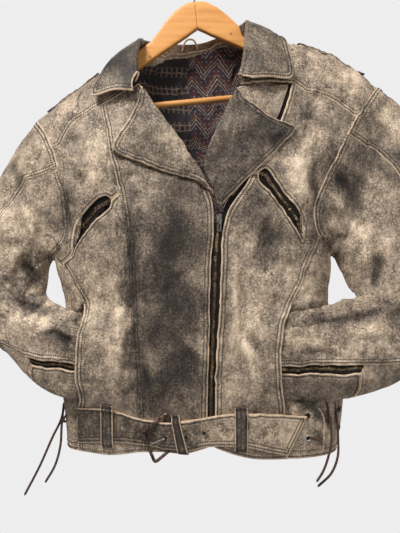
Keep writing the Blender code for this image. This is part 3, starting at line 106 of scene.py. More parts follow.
# The shoulder ridge, left to right.
#         x    height
RIDGE = [(-340, -318), (-259, -264), (-210, -226.5), (-163, -188.5), (-100, -137), (-50, -116),
         (0, -107), (50, -108), (100, -117.5), (174, -137.5), (234, -160), (298, -207.5),
         (360, -262)]


def smooth_table(rows, column=1):
    """A smooth curve through the rows, read at the first column (cubic, with averaged slopes)."""
    table = np.array(rows, float) * MM
    at, value = table[:, 0], table[:, column]
    step = np.diff(at)
    slope = np.diff(value) / step
    tangent = np.empty_like(value)
    tangent[1:-1] = (slope[:-1] * step[1:] + slope[1:] * step[:-1]) / (step[:-1] + step[1:])
    tangent[0], tangent[-1] = slope[0], slope[-1]

    def read(query):
        """The cubic between the two rows around each query, held at the table's ends."""
        query = np.clip(np.asarray(query, float), at[0], at[-1])
        row = np.clip(np.searchsorted(at, query, side="right") - 1, 0, len(step) - 1)
        t = (query - at[row]) / step[row]
        return ((2 * t**3 - 3 * t**2 + 1) * value[row]
                + (t**3 - 2 * t**2 + t) * step[row] * tangent[row]
                + (3 * t**2 - 2 * t**3) * value[row + 1]
                + (t**3 - t**2) * step[row] * tangent[row + 1])
    return read


centre_x, half_width, front_depth, back_depth = (smooth_table(BODY, column) for column in (1, 2, 3, 4))
ridge_height = smooth_table(RIDGE)


def unit(vectors):
    """The vectors, each divided by its length."""
    return vectors / np.linalg.norm(vectors, axis=-1, keepdims=True)


def gathered(*parts):
    """Arrays or numbers, one for each axis, as one array of points; or of faces, from each corner's."""
    return np.stack(np.broadcast_arrays(*parts), axis=-1)


def read_line(at, run, points):
    """A line's points at some places along it, straight between its own, which lie at run."""
    return np.stack([np.interp(at, run, values) for values in np.transpose(points)], axis=-1)


def all_round(count):
    """The angles of evenly spaced places round a circle."""
    return np.arange(count) * 2 * np.pi / count


def squared_off(value, power):
    """sign(value) * |value|^power, which makes a cosine or sine go round a superellipse."""
    return np.sign(value) * np.abs(value) ** power


def turned_to(normal, way):
    """The unit vectors, each turned over where it points against its way."""
    against = np.sum(normal * way, axis=-1, keepdims=True) < 0
    return np.where(against, -normal, normal)


def ramp(value, start, end):
    """0 before start, 1 after end, smooth between."""
    t = np.clip((np.asarray(value, float) - start) / (end - start), 0, 1)
    return t * t * (3 - 2 * t)


CUFF_LEFT, CUFF_RIGHT = (85 * MM, 122 * MM), (42 * MM, 88 * MM)      # where a tucked cuff fills out
NORMAL_STEP = 1e-5


def pocket_fullness(z):
    """How far a tucked cuff holds the pocket open: 0 at its ends, 1 in the middle."""
    middle, half = (POCKET_TOP + POCKET_BOTTOM) / 2, (POCKET_TOP - POCKET_BOTTOM) / 2
    return np.clip(1 - np.abs((z - middle) / half) ** 3, 0, 1)


def section_depth(x, z):
    """The superellipse's height at x, from 1 on the centre line to 0 at the side silhouette."""
    across = np.clip(np.abs((x - centre_x(z)) / half_width(z)), 0, 1)
    return (1 - across**SQUARENESS) ** (1 / SQUARENESS)


def rise_factor(x, z, start):
    """1 on the flat of the chest or back, falling to 0 at the shoulder ridge."""
    rise = np.clip((z - start) / (ridge_height(x) - start), 0, 1)
    return (1 - rise**RIDGE_SQUARENESS) ** (1 / RIDGE_SQUARENESS)


def front_flat(x, z):
    """The front's Y before the shoulder rounds it off: depth * section height from the middle."""
    return DEPTH_CENTRE - front_depth(z) * section_depth(x, z)


def back_flat(x, z):
    """The same for the back."""
    return DEPTH_CENTRE + back_depth(z) * section_depth(x, z)


def front_y(x, z):
    """The jacket's front surface, with both pockets filled."""
    y = front_flat(x, z)
    cuff = ramp(-x, *CUFF_LEFT) + ramp(x, *CUFF_RIGHT)
    y = y + (POCKET_FRONT - y) * pocket_fullness(z) * cuff
    return y * rise_factor(x, z, FRONT_RISE)


def back_y(x, z):
    """The jacket's back surface."""
    return back_flat(x, z) * rise_factor(x, z, BACK_RISE)


# ---- from a flat pattern to the form ---------------------------------------------------------
def on_front(pattern):
    """Pattern (x, z) laid on the front."""
    x, z = pattern[..., 0], pattern[..., 1]
    return gathered(x, front_y(x, z), z)


def on_side(pattern):
    """Pattern (angle, z) wrapped round the side: angle 0 is the right silhouette, pi the left."""
    angle, z = pattern[..., 0], pattern[..., 1]
    power = 2 / SQUARENESS
    x = centre_x(z) + half_width(z) * squared_off(np.cos(angle), power)
    depth = np.where(np.sin(angle) > 0, -front_depth(z), back_depth(z))
    y = DEPTH_CENTRE + depth * np.abs(np.sin(angle)) ** power
    return gathered(x, y + pocket_fullness(z) * np.clip(POCKET_BACK - y, 0, None), z)


def side_angle(x, z, back=False):
    """The angle of on_side for a point given by its x and height."""
    across = np.clip((x - centre_x(z)) / half_width(z), -1, 1)
    angle = np.arccos(squared_off(across, SQUARENESS / 2))
    return 2 * np.pi - angle if back else angle


def rising(pattern, start, y_of):
    """Pattern (x, climb) where climb runs evenly up the flat and over the rounded shoulder."""
    x, climb = pattern[..., 0], pattern[..., 1]
    height = ridge_height(x) - start
    angle = np.clip(climb / height, 0, None) * np.pi / 2
    power = 2 / RIDGE_SQUARENESS
    z = np.where(climb > 0, start + height * np.abs(np.sin(angle)) ** power, start + climb)
    lean = np.where(climb > 0, squared_off(np.cos(angle), power), 1.0)
    return gathered(x, y_of(x, z) * lean, z)


def on_yoke(pattern):
    """Pattern (x, climb) laid on the front's upper part."""
    return rising(pattern, FRONT_RISE, front_flat)


def on_back(pattern):
    """Pattern (x, climb) laid on the back."""
    return rising(pattern, BACK_RISE, back_flat)


def to_climb(points, start):
    """Pattern (x, z) as (x, climb)."""
    x, z = points[:, 0], points[:, 1]
    height = ridge_height(x) - start
    rise = np.clip((z - start) / height, 0, 1)
    climb = height * np.arcsin(rise ** (RIDGE_SQUARENESS / 2)) * 2 / np.pi
    return gathered(x, np.where(z > start, climb, z - start))


# a point well inside the jacket, from one on its surface: shares of x, y and z, and a drop
INSIDE_SHARE, INSIDE_DROP = np.array([0.8, 0.0, 1.0]), 30 * MM


def normals(place, pattern):
    """Outward unit normals of a placed pattern, from its neighbours on the true form."""
    across, along = np.eye(2) * NORMAL_STEP
    normal = unit(np.cross(place(pattern + across) - place(pattern - across),
                           place(pattern + along) - place(pattern - along)))
    point = place(pattern)
    inside = point * INSIDE_SHARE - INSIDE_DROP * UP
    return turned_to(normal, point - inside)


# ---- seams and patches -----------------------------------------------------------------------
def fine(line):
    """FINENESS evenly spaced steps between each value, or row of values, and the next."""
    line = np.asarray(line, float)
    at = np.linspace(0, len(line) - 1, (len(line) - 1) * FINENESS + 1)
    row = np.minimum(at.astype(int), len(line) - 2)
    t = (at - row).reshape(-1, *[1] * (line.ndim - 1))
    return (1 - t) * line[row] + t * line[row + 1]


CURVE_STEPS = 40                # steps for each given point, before a curve is spaced evenly


def curve(points, pieces):
    """A smooth line through points in millimetres, from equal pieces or given shares, made fine."""
    shares = fine(np.linspace(0, 1, pieces + 1) if np.isscalar(pieces) else pieces)
    points = np.array(points, float) * MM
    run = np.r_[0, np.cumsum(np.linalg.norm(np.diff(points, axis=0), axis=1))]
    close = np.linspace(0, run[-1], CURVE_STEPS * len(points))
    rows = np.c_[run, points]
    line = np.stack([smooth_table(rows / MM, column)(close) for column in range(1, rows.shape[1])],
                    axis=-1)
    length = np.r_[0, np.cumsum(np.linalg.norm(np.diff(line, axis=0), axis=1))]
    at = shares * length[-1]
    return read_line(at, length, line)


def at_heights(points, heights):
    """A smooth line through (x, z) points, read at the given heights, all in millimetres."""
    table = np.array(points, float)[::-1]
    heights = fine(heights) * MM
    return gathered(smooth_table(table[:, ::-1])(heights), heights)


def chain(*lines):
    """Lines end to end, with a straight run across each gap between them."""
    whole = [lines[0]]
    for before, after in zip(lines, lines[1:]):
        whole += [fine([before[-1], after[0]])[1:-1], after]
    return np.concatenate(whole)


def join(*lines):
    """Lines end to end, each starting where the last one stops."""
    return np.concatenate([lines[0]] + [line[1:] for line in lines[1:]])


def patch(bottom, top, left, right):
    """The smooth grid between four edges: grid[i, j], i to the right, j upwards.

    A Coons patch, but the bends of the bottom and top edges die out faster than evenly.
    """
    u = np.linspace(0, 1, len(bottom))[:, None, None]
    v = np.linspace(0, 1, len(left))[None, :, None]
    rows = (1 - u) * left[None] + u * right[None]
    bend_low = bottom[:, None] - (1 - u) * bottom[0] - u * bottom[-1]
    bend_high = top[:, None] - (1 - u) * top[0] - u * top[-1]
    return rows + (1 - v) ** 2 * bend_low + v**2 * bend_high


# ---- folds and wear ----------------------------------------------------------------------------
# A fold is a bowed line on the front or the back, in millimetres: its two ends, how far it bows to
# its left, its half width, and its height, below 0 for a trough.
#    x0    z0    x1    z1   bow  width  height
FRONT_FOLDS = [
    (-124, -495, -109, -695, 4, 9, 4.5),
    (-99, -400, -93, -600, 4, 8, -3.6),
    (-150, -500, -146, -640, -6, 10, 2.4),
    (-80, -610, -50, -716, 5, 7, 3.2),
    (-94, -600, -66, -714, 5, 6, -2.6),
    (-45, -430, -30, -600, 8, 20, -2.4),
    (-66, -420, -60, -560, -4, 12, 2.0),
    (5, -520, 8, -690, 3, 7, 1.6),
    (56, -505, 61, -630, 5, 8, 3.4),
    (44, -500, 48, -650, 3, 6, -2.0),
    (66, -600, 95, -708, 5, 7, 3.6),
    (80, -590, 112, -700, 6, 7, -2.4),
    (104, -420, 116, -520, 6, 16, -3.0),
    (92, -520, 104, -620, -4, 12, 2.4),
    (156, -318, 178, -420, -6, 14, 4.5),
    (184, -330, 192, -425, -4, 7, -4.0),
    (112, -300, 140, -350, 6, 12, -2.4),
    (-206, -365, -194, -458, 5, 6, -3.2),
    (-170, -290, -140, -390, 6, 18, 3.2),
    (-126, -320, -116, -392, 3, 6, -2.6),
    (-190, -300, -166, -350, 4, 9, -2.0),
    (-66, -262, -12, -376, 5, 20, 2.6),
    (40, -300, 108, -285, 6, 14, 2.2),
    (-262, -400, -222, -500, -8, 10, 6.0),
    (-276, -480, -226, -545, -6, 7, -6.0),
    (-300, -400, -272, -470, -8, 12, 4.0),
    (-310, -330, -262, -400, 8, 10, -3.4),
    (-350, -480, -300, -540, 8, 12, 3.6),
    (-288, -548, -196, -574, -6, 7, -5.0),
    (-292, -584, -200, -600, 6, 12, 3.6),
    (-340, -560, -290, -600, 6, 9, -3.4),
    (-230, -600, -176, -622, 4, 6, -4.5),
    (-260, -632, -182, -640, -4, 7, 2.6),
    (205, -352, 272, -430, 8, 8, -4.0),
    (200, -385, 258, -465, 8, 9, 5.0),
    (214, -330, 300, -392, 6, 9, 3.4),
    (286, -470, 271, -545, 5, 6, -6.0),
    (262, -440, 258, -520, 6, 9, 4.5),
    (304, -440, 300, -530, -6, 10, 4.0),
    (318, -300, 352, -400, 8, 14, -3.4),
    (352, -420, 372, -520, 8, 12, 3.6),
    (160, -590, 300, -562, -6, 7, -4.0),
    (170, -618, 312, -600, 8, 12, 3.6),
    (300, -600, 366, -540, 8, 9, -3.6),
    (150, -632, 232, -640, 4, 6, -3.0),
    (180, -668, 300, -672, 4, 8, 2.4)]
BACK_FOLDS = [
    (-150, -320, -60, -480, 12, 14, 4.0),
    (170, -300, 80, -470, -12, 14, 4.0),
    (-190, -400, -120, -560, 10, 10, -4.0),
    (196, -390, 130, -560, -10, 10, -4.0),
    (-40, -420, -60, -640, 8, 16, 3.0),
    (60, -430, 76, -660, -8, 14, 3.0),
    (10, -500, 14, -700, 4, 9, -3.0),
    (-130, -560, -120, -720, -4, 9, 3.0),
    (140, -560, 146, -720, 4, 9, 3.0),
    (-280, -400, -236, -500, -8, 10, 5.0),
    (-350, -470, -290, -545, 8, 9, -5.0),
    (300, -360, 262, -500, 8, 10, 5.0),
    (370, -440, 320, -560, -8, 9, -5.0),
    (-300, -590, -220, -620, 6, 9, 3.4),
    (250, -600, 350, -580, -6, 9, 3.4)]
# A tone is a soft patch, darker below 0 and lighter above: centre, half sizes and turn in degrees.
#    x     z    half x  half z  turn  strength
FRONT_TONES = [
    (-36, -545, 46, 150, 2, -1.6),
    (-46, -480, 24, 66, 6, -1.5),
    (-12, -420, 26, 50, 10, -0.9),
    (-62, -690, 30, 40, 10, -0.9),
    (-10, -650, 22, 90, 0, -0.8),
    (108, -440, 34, 40, -18, -1.1),
    (96, -400, 20, 22, 30, -0.6),
    (116, -520, 26, 22, 0, 1.0),
    (70, -500, 24, 60, 0, 0.5),
    (64, -610, 40, 96, 0, 0.45),
    (132, -600, 14, 60, 0, -0.5),
    (162, -550, 26, 60, 0, 1.2),
    (-48, -650, 50, 80, 0, -1.0),
    (170, -272, 34, 24, -20, -1.0),
    (118, -290, 30, 30, 0, -0.8),
    (158, -352, 26, 44, 20, 1.0),
    (130, -420, 16, 34, -30, 0.4),
    (186, -410, 10, 40, 0, -0.9),
    (240, -352, 30, 34, 30, -1.4),
    (214, -322, 18, 40, 20, -1.0),
    (250, -390, 34, 26, 0, -0.6),
    (246, -462, 34, 46, 10, 1.5),
    (300, -440, 20, 60, 20, 0.4),
    (285, -510, 8, 40, -12, -0.9),
    (205, -440, 14, 44, -30, -1.6),
    (244, -200, 44, 26, -25, 1.3),
    (330, -262, 50, 44, 0, 1.4),
    (290, -332, 42, 30, 10, -1.3),
    (200, -150, 40, 20, -20, 0.9),
    (385, -400, 24, 80, 0, -0.2),
    (240, -586, 90, 12, 8, -0.9),
    (250, -630, 90, 22, 4, 1.1),
    (200, -648, 60, 10, 0, -0.9),
    (300, -668, 60, 20, 0, -0.5),
    (300, -630, 40, 16, 20, 0.8),
    (152, -720, 14, 14, 0, 1.9),
    (183, -722, 9, 22, -50, -3.0),
    (190, -748, 14, 12, 0, 1.9),
    (184, -772, 16, 9, 20, -2.0),
    (-140, -340, 32, 46, 10, 0.8),
    (-172, -300, 20, 26, 0, 0.5),
    (-112, -380, 14, 26, 10, -1.6),
    (-186, -420, 14, 50, 5, -0.6),
    (-108, -420, 24, 46, 0, 0.2),
    (-122, -600, 12, 110, 4, 1.2),
    (-132, -560, 26, 110, 0, -0.5),
    # painted shade in the valley beside the princess fold's ridge
    (-97, -540, 7, 130, 2, -1.3),
    (-150, -560, 16, 80, 4, 0.7),
    (-160, -690, 20, 30, 0, 0.6),
    (-110, -300, 18, 26, 0, 0.2),
    (-196, -255, 24, 18, -30, 0.5),
    (-240, -340, 34, 44, 0, 0.9),
    (-238, -340, 5, 14, 20, -2.0),
    (-232, -474, 20, 26, 10, 1.7),
    (-262, -512, 14, 20, 20, -1.8),
    (-218, -470, 6, 26, -15, -1.9),
    (-216, -530, 12, 12, 0, -1.6),
    (-280, -430, 34, 50, 0, 1.0),
    (-330, -420, 40, 70, 0, 1.0),
    (-250, -552, 50, 10, -14, -1.2),
    # painted highlight: the lit band below the left forearm's fold
    (-256, -590, 60, 26, -10, 1.4),
    # painted shadow under the left forearm's fold
    (-190, -606, 18, 20, 0, -1.7),
    (-270, -650, 50, 22, -20, 0.6),
    (-210, -660, 30, 20, 0, 0.4),
    (-40, -330, 30, 44, 30, 0.3),
    (-60, -300, 20, 60, -20, -0.3),
    (60, -330, 40, 30, 0, -0.5),
    (-112, -197, 36, 32, 0, -2.0),
    (230, -80, 10, 10, 0, 0.3)]
BACK_TONES = [
    (0, -420, 120, 130, 0, -0.8),
    (-90, -300, 60, 60, 20, 0.9),
    (110, -290, 60, 60, -20, 0.9),
    (-150, -620, 30, 90, 0, -0.9),
    (60, -620, 50, 90, 0, 0.8),
    (170, -640, 26, 80, 0, -0.8),
    (-60, -690, 60, 30, 0, 0.7),
    (-280, -450, 40, 60, 10, 0.9),
    (300, -430, 40, 70, -10, 0.9),
    (-300, -580, 50, 30, -20, -1.0),
    (320, -590, 50, 30, 20, -1.0)]
FOLD_GAIN = 1.5                 # all the heights above are multiplied by this
FOLD_END = 0.3                  # share of a fold over which each end fades out
WANDERS = [(90, 14), (47, 8), (23, 5), (13, 2.6)]       # a wave's length and reach, millimetres
WANDER_BEND = 0.6, 0.9, 0.7     # the waves that cross it, as shares of its own radians a metre
WANDER_START = 1.7, 2.3         # how far on each wave starts from the one before it, radians
FULL_FRONT = 70 * MM            # depth at which a point wholly faces front or back
FACES_FRONT, FACES_BACK = (0.05, 0.75), (0.05, 0.6)     # shares of it where that begins and is whole
RIPPLE_COUNT = 14
RIPPLE_LENGTHS = (18 * MM, 110 * MM)
RIPPLE_HEIGHT = 0.045           # of a ripple's length
RIPPLE_BEND = 1.3               # how far each ripple is turned by the one before it, radians
BELT_LINE = -712 * MM           # folds fade out towards the belt, which lies flat
QUIET_BAND = 30 * MM
QUIET_SPOTS = [(31, -429), (-135, -408), (108, -367)]     # the sliders, which lie on the form
QUIET_RADIUS = 24 * MM

chance = np.random.default_rng(11)
ripple_way = unit(chance.normal(size=(RIPPLE_COUNT, 3)) * [1.0, 0.4, 1.0])
ripple_push = unit(chance.normal(size=(RIPPLE_COUNT, 3)) * [0.5, 1.0, 0.5])
ripple_length = np.geomspace(*RIPPLE_LENGTHS, RIPPLE_COUNT)
ripple_start = chance.uniform(0, 2 * np.pi, RIPPLE_COUNT)


def fold_height(x, z, folds):
    """Sum of the folds at (x, z): height * exp(-(distance to the bowed line / width)^2)."""
    total = np.zeros_like(x)
    for x0, z0, x1, z1, bow, width, height in np.array(folds, float) * MM:
        length = np.hypot(x1 - x0, z1 - z0)
        way_x, way_z = (x1 - x0) / length, (z1 - z0) / length
        t = ((x - x0) * way_x + (z - z0) * way_z) / length
        aside = (z - z0) * way_x - (x - x0) * way_z - bow * 4 * t * (1 - t)
        fade = ramp(t, 0, FOLD_END) * ramp(1 - t, 0, FOLD_END)
        total += FOLD_GAIN * height * np.exp(-((aside / width) ** 2)) * fade
    return total


def patch_tone(x, z, tones):
    """Sum of the patches at (x, z): strength * exp(-(distance in half sizes)^3)."""
    total = np.zeros_like(x)
    for centre, height, half_x, half_z, turn, strength in tones:
        cosine, sine = np.cos(np.radians(turn)), np.sin(np.radians(turn))
        away_x, away_z = x / MM - centre, z / MM - height
        far = np.hypot((away_x * cosine + away_z * sine) / half_x,
                       (away_z * cosine - away_x * sine) / half_z)
        total += strength * np.exp(-(far**3))
    return total


def wandered(x, z):
    """Places shifted by crossing waves of a few lengths, so that a patch gets a ragged outline."""
    for step, (length, reach) in enumerate(WANDERS):
        wave = 2 * np.pi / (length * MM)
        across, up, back = (share * wave for share in WANDER_BEND)
        x, z = (x + reach * MM * np.sin(wave * z + WANDER_START[0] * step + np.sin(across * x)),
                z + reach * MM * np.sin(up * x + WANDER_START[1] * step + np.sin(back * z)))
    return x, z


def stillness(x, z):
    """0 under the belt and at each slider, 1 away from them."""
    still = ramp(z, BELT_LINE, BELT_LINE + QUIET_BAND)
    for spot_x, spot_z in QUIET_SPOTS:
        away = np.hypot(x - spot_x * MM, z - spot_z * MM) / QUIET_RADIUS
        still = still * (1 - np.exp(-(away**2)))
    return still


def facing(points, middle=DEPTH_CENTRE, half=FULL_FRONT):
    """How far each point faces the front, and the back: 0 to 1 each."""
    share = (middle - points[..., 1]) / half
    return ramp(share, *FACES_FRONT), ramp(-share, *FACES_BACK)


def moved(points, middle=DEPTH_CENTRE, half=FULL_FRONT):
    """The points pushed by the folds along Y and by the ripples, and the folds' own height there."""
    front, back = facing(points, middle, half)
    x, z = points[..., 0], points[..., 2]
    calm = stillness(x, z)
    rise_front = fold_height(x, z, FRONT_FOLDS) * front * calm
    rise_back = fold_height(x, z, BACK_FOLDS) * back * calm
    out = points.copy()
    out[..., 1] += rise_back - rise_front
    bend = np.zeros_like(x)
    for way, push, length, start in zip(ripple_way, ripple_push, ripple_length, ripple_start):
        wave = np.sin(points @ way * 2 * np.pi / length + start + RIPPLE_BEND * bend)
        bend = wave
        out += (RIPPLE_HEIGHT * length * wave * calm / np.sqrt(RIPPLE_COUNT))[..., None] * push
    return out, rise_front + rise_back


# ---- grids and meshes --------------------------------------------------------------------------
RIM_SHARES = (0.06, 0.2, 0.45)   # extra grid lines in the first cell beside each edge
EDGE_ROLL = 0.9 * MM             # how far a cut edge rolls down
EDGE_ROLL_WIDTH = 0.5 * MM
BEAD = 0.35 * MM                 # the raised, rubbed edge inside the roll
BEAD_AT, BEAD_WIDTH = 1.8 * MM, 1.1 * MM
GROOVE = 0.3 * MM                # the leather drawn down by the first stitch row
GROOVE_AT, GROOVE_WIDTH = 3.6 * MM, 0.9 * MM
SIDES = ("left", "right", "low", "high")
FAR = 50 * MM                    # stands for the distance to an edge where none shows


def rimmed(grid):
    """The grid with more lines beside each of its edges, where the leather rolls over."""
    for axis in (0, 1):
        grid = np.swapaxes(grid, 0, axis)
        first = [(1 - t) * grid[:1] + t * grid[1:2] for t in RIM_SHARES]
        last = [(1 - t) * grid[-1:] + t * grid[-2:-1] for t in RIM_SHARES[::-1]]
        grid = np.swapaxes(np.concatenate([grid[:1], *first, grid[1:-1], *last, grid[-1:]]), 0, axis)
    return grid


def from_side(grid, side):
    """The grid turned so that its first axis runs inwards from the named side."""
    turned = grid if side in ("left", "right") else np.swapaxes(grid, 0, 1)
    return turned[::-1] if side in ("right", "high") else turned


def lengths(grid):
    """Length along the first axis from its first point."""
    step = np.linalg.norm(np.diff(grid, axis=0), axis=-1)
    return np.concatenate([np.zeros_like(step[:1]), np.cumsum(step, axis=0)])


def line_distance(points, line):
    """Each point's shortest distance to a line: to the nearest place on each of its straight pieces."""
    way = np.diff(line, axis=0)
    gap = points[..., None, :] - line[:-1]
    t = np.clip(np.sum(gap * way, axis=-1) / np.maximum(np.sum(way * way, axis=-1), 1e-12), 0, 1)
    return np.linalg.norm(gap - t[..., None] * way, axis=-1).min(axis=-1)


def side_part(side, line):
    """A side's name, and which points of its line are meant: all, or (side, first, last) shares."""
    name, first, last = side if isinstance(side, tuple) else (side, 0.0, 1.0)
    share = lengths(line(name)) / lengths(line(name))[-1]
    return name, (share >= first) & (share <= last)


def beside(points, inward, side, distance):
    """The line a distance inside one side of a grid, where each crossing line comes to it, and the
    vectors out of the cloth there."""
    name, meant = side_part(side, lambda name: from_side(points, name)[0])
    turned = from_side(points, name)[:, meant]
    far = np.maximum.accumulate(line_distance(turned, turned[0]), axis=0)
    row = np.clip((far < distance).sum(axis=0), 1, len(far) - 1)[None]
    low, high = (np.take_along_axis(far, row - shift, 0)[0] for shift in (1, 0))
    t = np.clip((distance - low) / np.maximum(high - low, 1e-9), 0, 1)[:, None]
    read = [(1 - t) * np.take_along_axis(grid, (row - 1)[..., None], 0)[0]
            + t * np.take_along_axis(grid, row[..., None], 0)[0]
            for grid in (turned, from_side(inward, name)[:, meant])]
    return read[0], -read[1]


def grid_normals(points, place=None, way=None):
    """Unit normals of a grid of points, from the points beside each; turned, where a place in the grid
    is given, so that the one there points the given way."""
    normal = unit(np.cross(np.gradient(points, axis=0), np.gradient(points, axis=1)))
    return normal if place is None else normal * np.sign(np.sum(normal[place] * way))


def fill_mesh(name, points, groups, finish, values=(), uv=None, smooth=True):
    """A mesh object at the origin from its points and groups of faces, each group of one size."""
    mesh = bpy.data.meshes.new(name)
    corners = np.concatenate([group.ravel() for group in groups])
    sizes = np.concatenate([np.full(len(group), group.shape[1]) for group in groups])
    mesh.vertices.add(len(points))
    mesh.vertices.foreach_set("co", np.ascontiguousarray(points, np.float32).ravel())
    mesh.loops.add(len(corners))
    mesh.loops.foreach_set("vertex_index", corners.astype(np.int32))
    mesh.polygons.add(len(sizes))
    mesh.polygons.foreach_set("loop_start", np.r_[0, np.cumsum(sizes)[:-1]].astype(np.int32))
    mesh.polygons.foreach_set("use_smooth", np.full(len(sizes), smooth))
    for label, value in values:
        attribute = mesh.attributes.new(label, "FLOAT", "POINT")
        attribute.data.foreach_set("value", value.astype(np.float32))
    if uv is not None:
        mesh.uv_layers.new(name="UVMap").data.foreach_set("uv", uv[corners].astype(np.float32).ravel())
    mesh.update(calc_edges=True)
    mesh.materials.append(finish.material)
    made = bpy.data.objects.new(name, mesh)
    bpy.context.scene.collection.objects.link(made)
    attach(made, COAT)
    return made


def quads(index):
    """A face for each cell of a grid of point numbers."""
    return np.stack([index[:-1, :-1], index[1:, :-1], index[1:, 1:], index[:-1, 1:]], -1).reshape(-1, 4)


def wall(name, outer, inner, finish, values, uv):
    """A closed wall between two grids, with faces on both and round the rim."""
    columns, rows = outer.shape[:2]
    index = np.arange(columns * rows).reshape(columns, rows)
    rim = np.concatenate([index[:-1, 0], index[-1, :-1], index[:0:-1, -1], index[0, :0:-1]])
    ahead = np.roll(rim, -1)
    total = columns * rows
    walls = gathered(ahead, rim, rim + total, ahead + total)
    faces = np.concatenate([quads(index), quads(index)[:, ::-1] + total, walls])
    half = columns // 2, rows // 2
    if grid_normals(outer)[half] @ (outer[half] - inner[half]) < 0:
        faces = faces[:, ::-1]
    points = np.concatenate([outer.reshape(-1, 3), inner.reshape(-1, 3)])
    doubled = [(label, np.tile(value.ravel(), 2)) for label, value in values]
    return fill_mesh(name, points, [faces], finish, doubled, np.tile(uv.reshape(-1, 2), (2, 1)))


def cloth(node, points, inward, finish, worn=SIDES, rows=(), thickness=LEATHER, depth=(), shade=0.0,
          moving=True, also=()):
    """One cut piece: its grid eased in from its seams, moved by the folds, rolled at its edges.

    inward: unit vectors towards the inner face. worn: the sides whose edge shows. rows: the stitch
    rows, as (side, distance in millimetres). A side may be (side, first, last), for the part between
    two shares of its length. depth: the middle and half depth of a tube. also: the frame's other nodes
    that the piece stands for.
    """
    points, inward = rimmed(points), unit(rimmed(inward))
    for side in SIDES:
        edge, within = from_side(points, side)[0], from_side(points, side)[len(RIM_SHARES) + 1]
        edge += SEAM_EASE * unit(within - edge)
    depth = [rimmed(value) if np.ndim(value) else value for value in depth]
    placed, fold = moved(points, *depth) if moving else (points.copy(), np.zeros(points.shape[:2]))
    edge = np.full(points.shape[:2], FAR)
    for side in worn:
        name, meant = side_part(side, lambda name: from_side(placed, name)[0])
        edge = np.minimum(edge, line_distance(placed, from_side(placed, name)[0][meant]))
    profile = (BEAD * np.exp(-(((edge - BEAD_AT) / BEAD_WIDTH) ** 2))
               - EDGE_ROLL * np.exp(-edge / EDGE_ROLL_WIDTH)
               - GROOVE * np.exp(-(((edge - GROOVE_AT) / GROOVE_WIDTH) ** 2)))
    roll = min(1.0, thickness / LEATHER)
    outer = placed - roll * profile[..., None] * inward
    front, back = facing(points, *depth)
    x, z = wandered(points[..., 0], points[..., 2])
    shade = rimmed(shade) if np.ndim(shade) else shade
    tone = shade + patch_tone(x, z, FRONT_TONES) * (1 - back) + patch_tone(x, z, BACK_TONES) * back
    uv = gathered(lengths(points), lengths(np.swapaxes(points, 0, 1)).T)
    values = [("tone", tone), ("edge", edge), ("fold", fold)]
    made = wall(f"{node}_piece", outer, placed + thickness * inward, finish, values, uv)
    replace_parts(made, node, *also)
    thread = [sewn(*beside(outer, inward, side, distance * MM)) for side, distance in rows]
    pieces = [stitches(f"{node}_thread", thread)] if thread else []
    return outer


# ---- small repeated pieces ---------------------------------------------------------------------
STITCH_PITCH = 3.6 * MM
STITCH_LENGTH = 2.3 * MM
STITCH_RADIUS = 1.0 * MM
STITCH_INSET = 4 * MM            # a row stops this far short of the panel's ends
TANGENT_STEP = 0.5 * MM          # either side of a place, for the line's way there


def spaced(points, facing_out, pitch, inset=0.0):
    """Evenly spaced places along a line: points, tangents and outward vectors."""
    far = lengths(points)
    total = far[-1] - 2 * inset
    if total < pitch:
        return np.zeros((3, 0, 3))
    at = inset + (np.arange(int(total / pitch)) + 0.5) * total / int(total / pitch)
    way = read_line(at + TANGENT_STEP, far, points) - read_line(at - TANGENT_STEP, far, points)
    return np.stack([read_line(at, far, points), unit(way), unit(read_line(at, far, facing_out))])


def sewn(points, facing_out):
    """The places of a seam's stitches."""
    return spaced(points, facing_out, STITCH_PITCH, STITCH_INSET)


def scattered(name, places, shape, faces, finish, smooth=True):
    """Copies of a small shape, given along, across and out, at every place, joined in one mesh."""
    centre, along, out = np.concatenate(places, axis=1)
    across = unit(np.cross(out, along))
    out = np.cross(along, across)
    points = centre[:, None] + sum(shape[None, :, axis, None] * way[:, None]
                                   for axis, way in enumerate((along, across, out)))
    shift = np.arange(len(centre))[:, None, None] * len(shape)
    spread_faces = [(group[None] + shift).reshape(-1, group.shape[1]) for group in faces]
    return fill_mesh(name, points.reshape(-1, 3), spread_faces, finish, smooth=smooth)


SPINDLE_FULL = 0.28             # where its rings stand, of its length from the middle
SPINDLE_FLAT = 0.8              # its height against its width


def spindle(length, radius, sides=6):
    """A short thread: two rings of points between two tips that dip to the surface."""
    turn = all_round(sides)
    ring = gathered(0, radius * np.cos(turn), SPINDLE_FLAT * radius * np.sin(turn))
    full, tip = [SPINDLE_FULL * length, 0, 0], [length / 2, 0, -radius]
    points = np.vstack([tip * np.array([-1, 0, 1]), ring - full, ring + full, tip])
    here = 1 + np.arange(sides)
    ahead = 1 + (np.arange(sides) + 1) % sides
    band = gathered(here, ahead, ahead + sides, here + sides)
    tips = np.concatenate([gathered(0, ahead, here),
                           gathered(2 * sides + 1, here + sides, ahead + sides)])
    return points, [band[:, ::-1], tips[:, ::-1]]


STITCH = spindle(STITCH_LENGTH, STITCH_RADIUS)


def stitches(name, rows):
    """Every row of one piece's thread, as one mesh."""
    return scattered(name, rows, STITCH[0], STITCH[1], thread_finish)


BLOCK_FACES = [np.array([(0, 1, 3, 2), (4, 6, 7, 5), (0, 4, 5, 1), (2, 3, 7, 6), (0, 2, 6, 4),
                         (1, 5, 7, 3)])]
TOOTH_PITCH = 2.3 * MM
TOOTH_HALF_LENGTH = 0.21 * TOOTH_PITCH
TOOTH_HALF_HEIGHT, TOOTH_LIFT = 0.7 * MM, 0.5 * MM      # its middle stands that far off the tape


def block(along, across, out, lift):
    """A small block: half sizes, and how far its middle stands off the surface."""
    corner = np.array([(a, c, o) for a in (-along, along) for c in (-across, across)
                       for o in (-out, out)])
    return corner + [0, 0, lift]


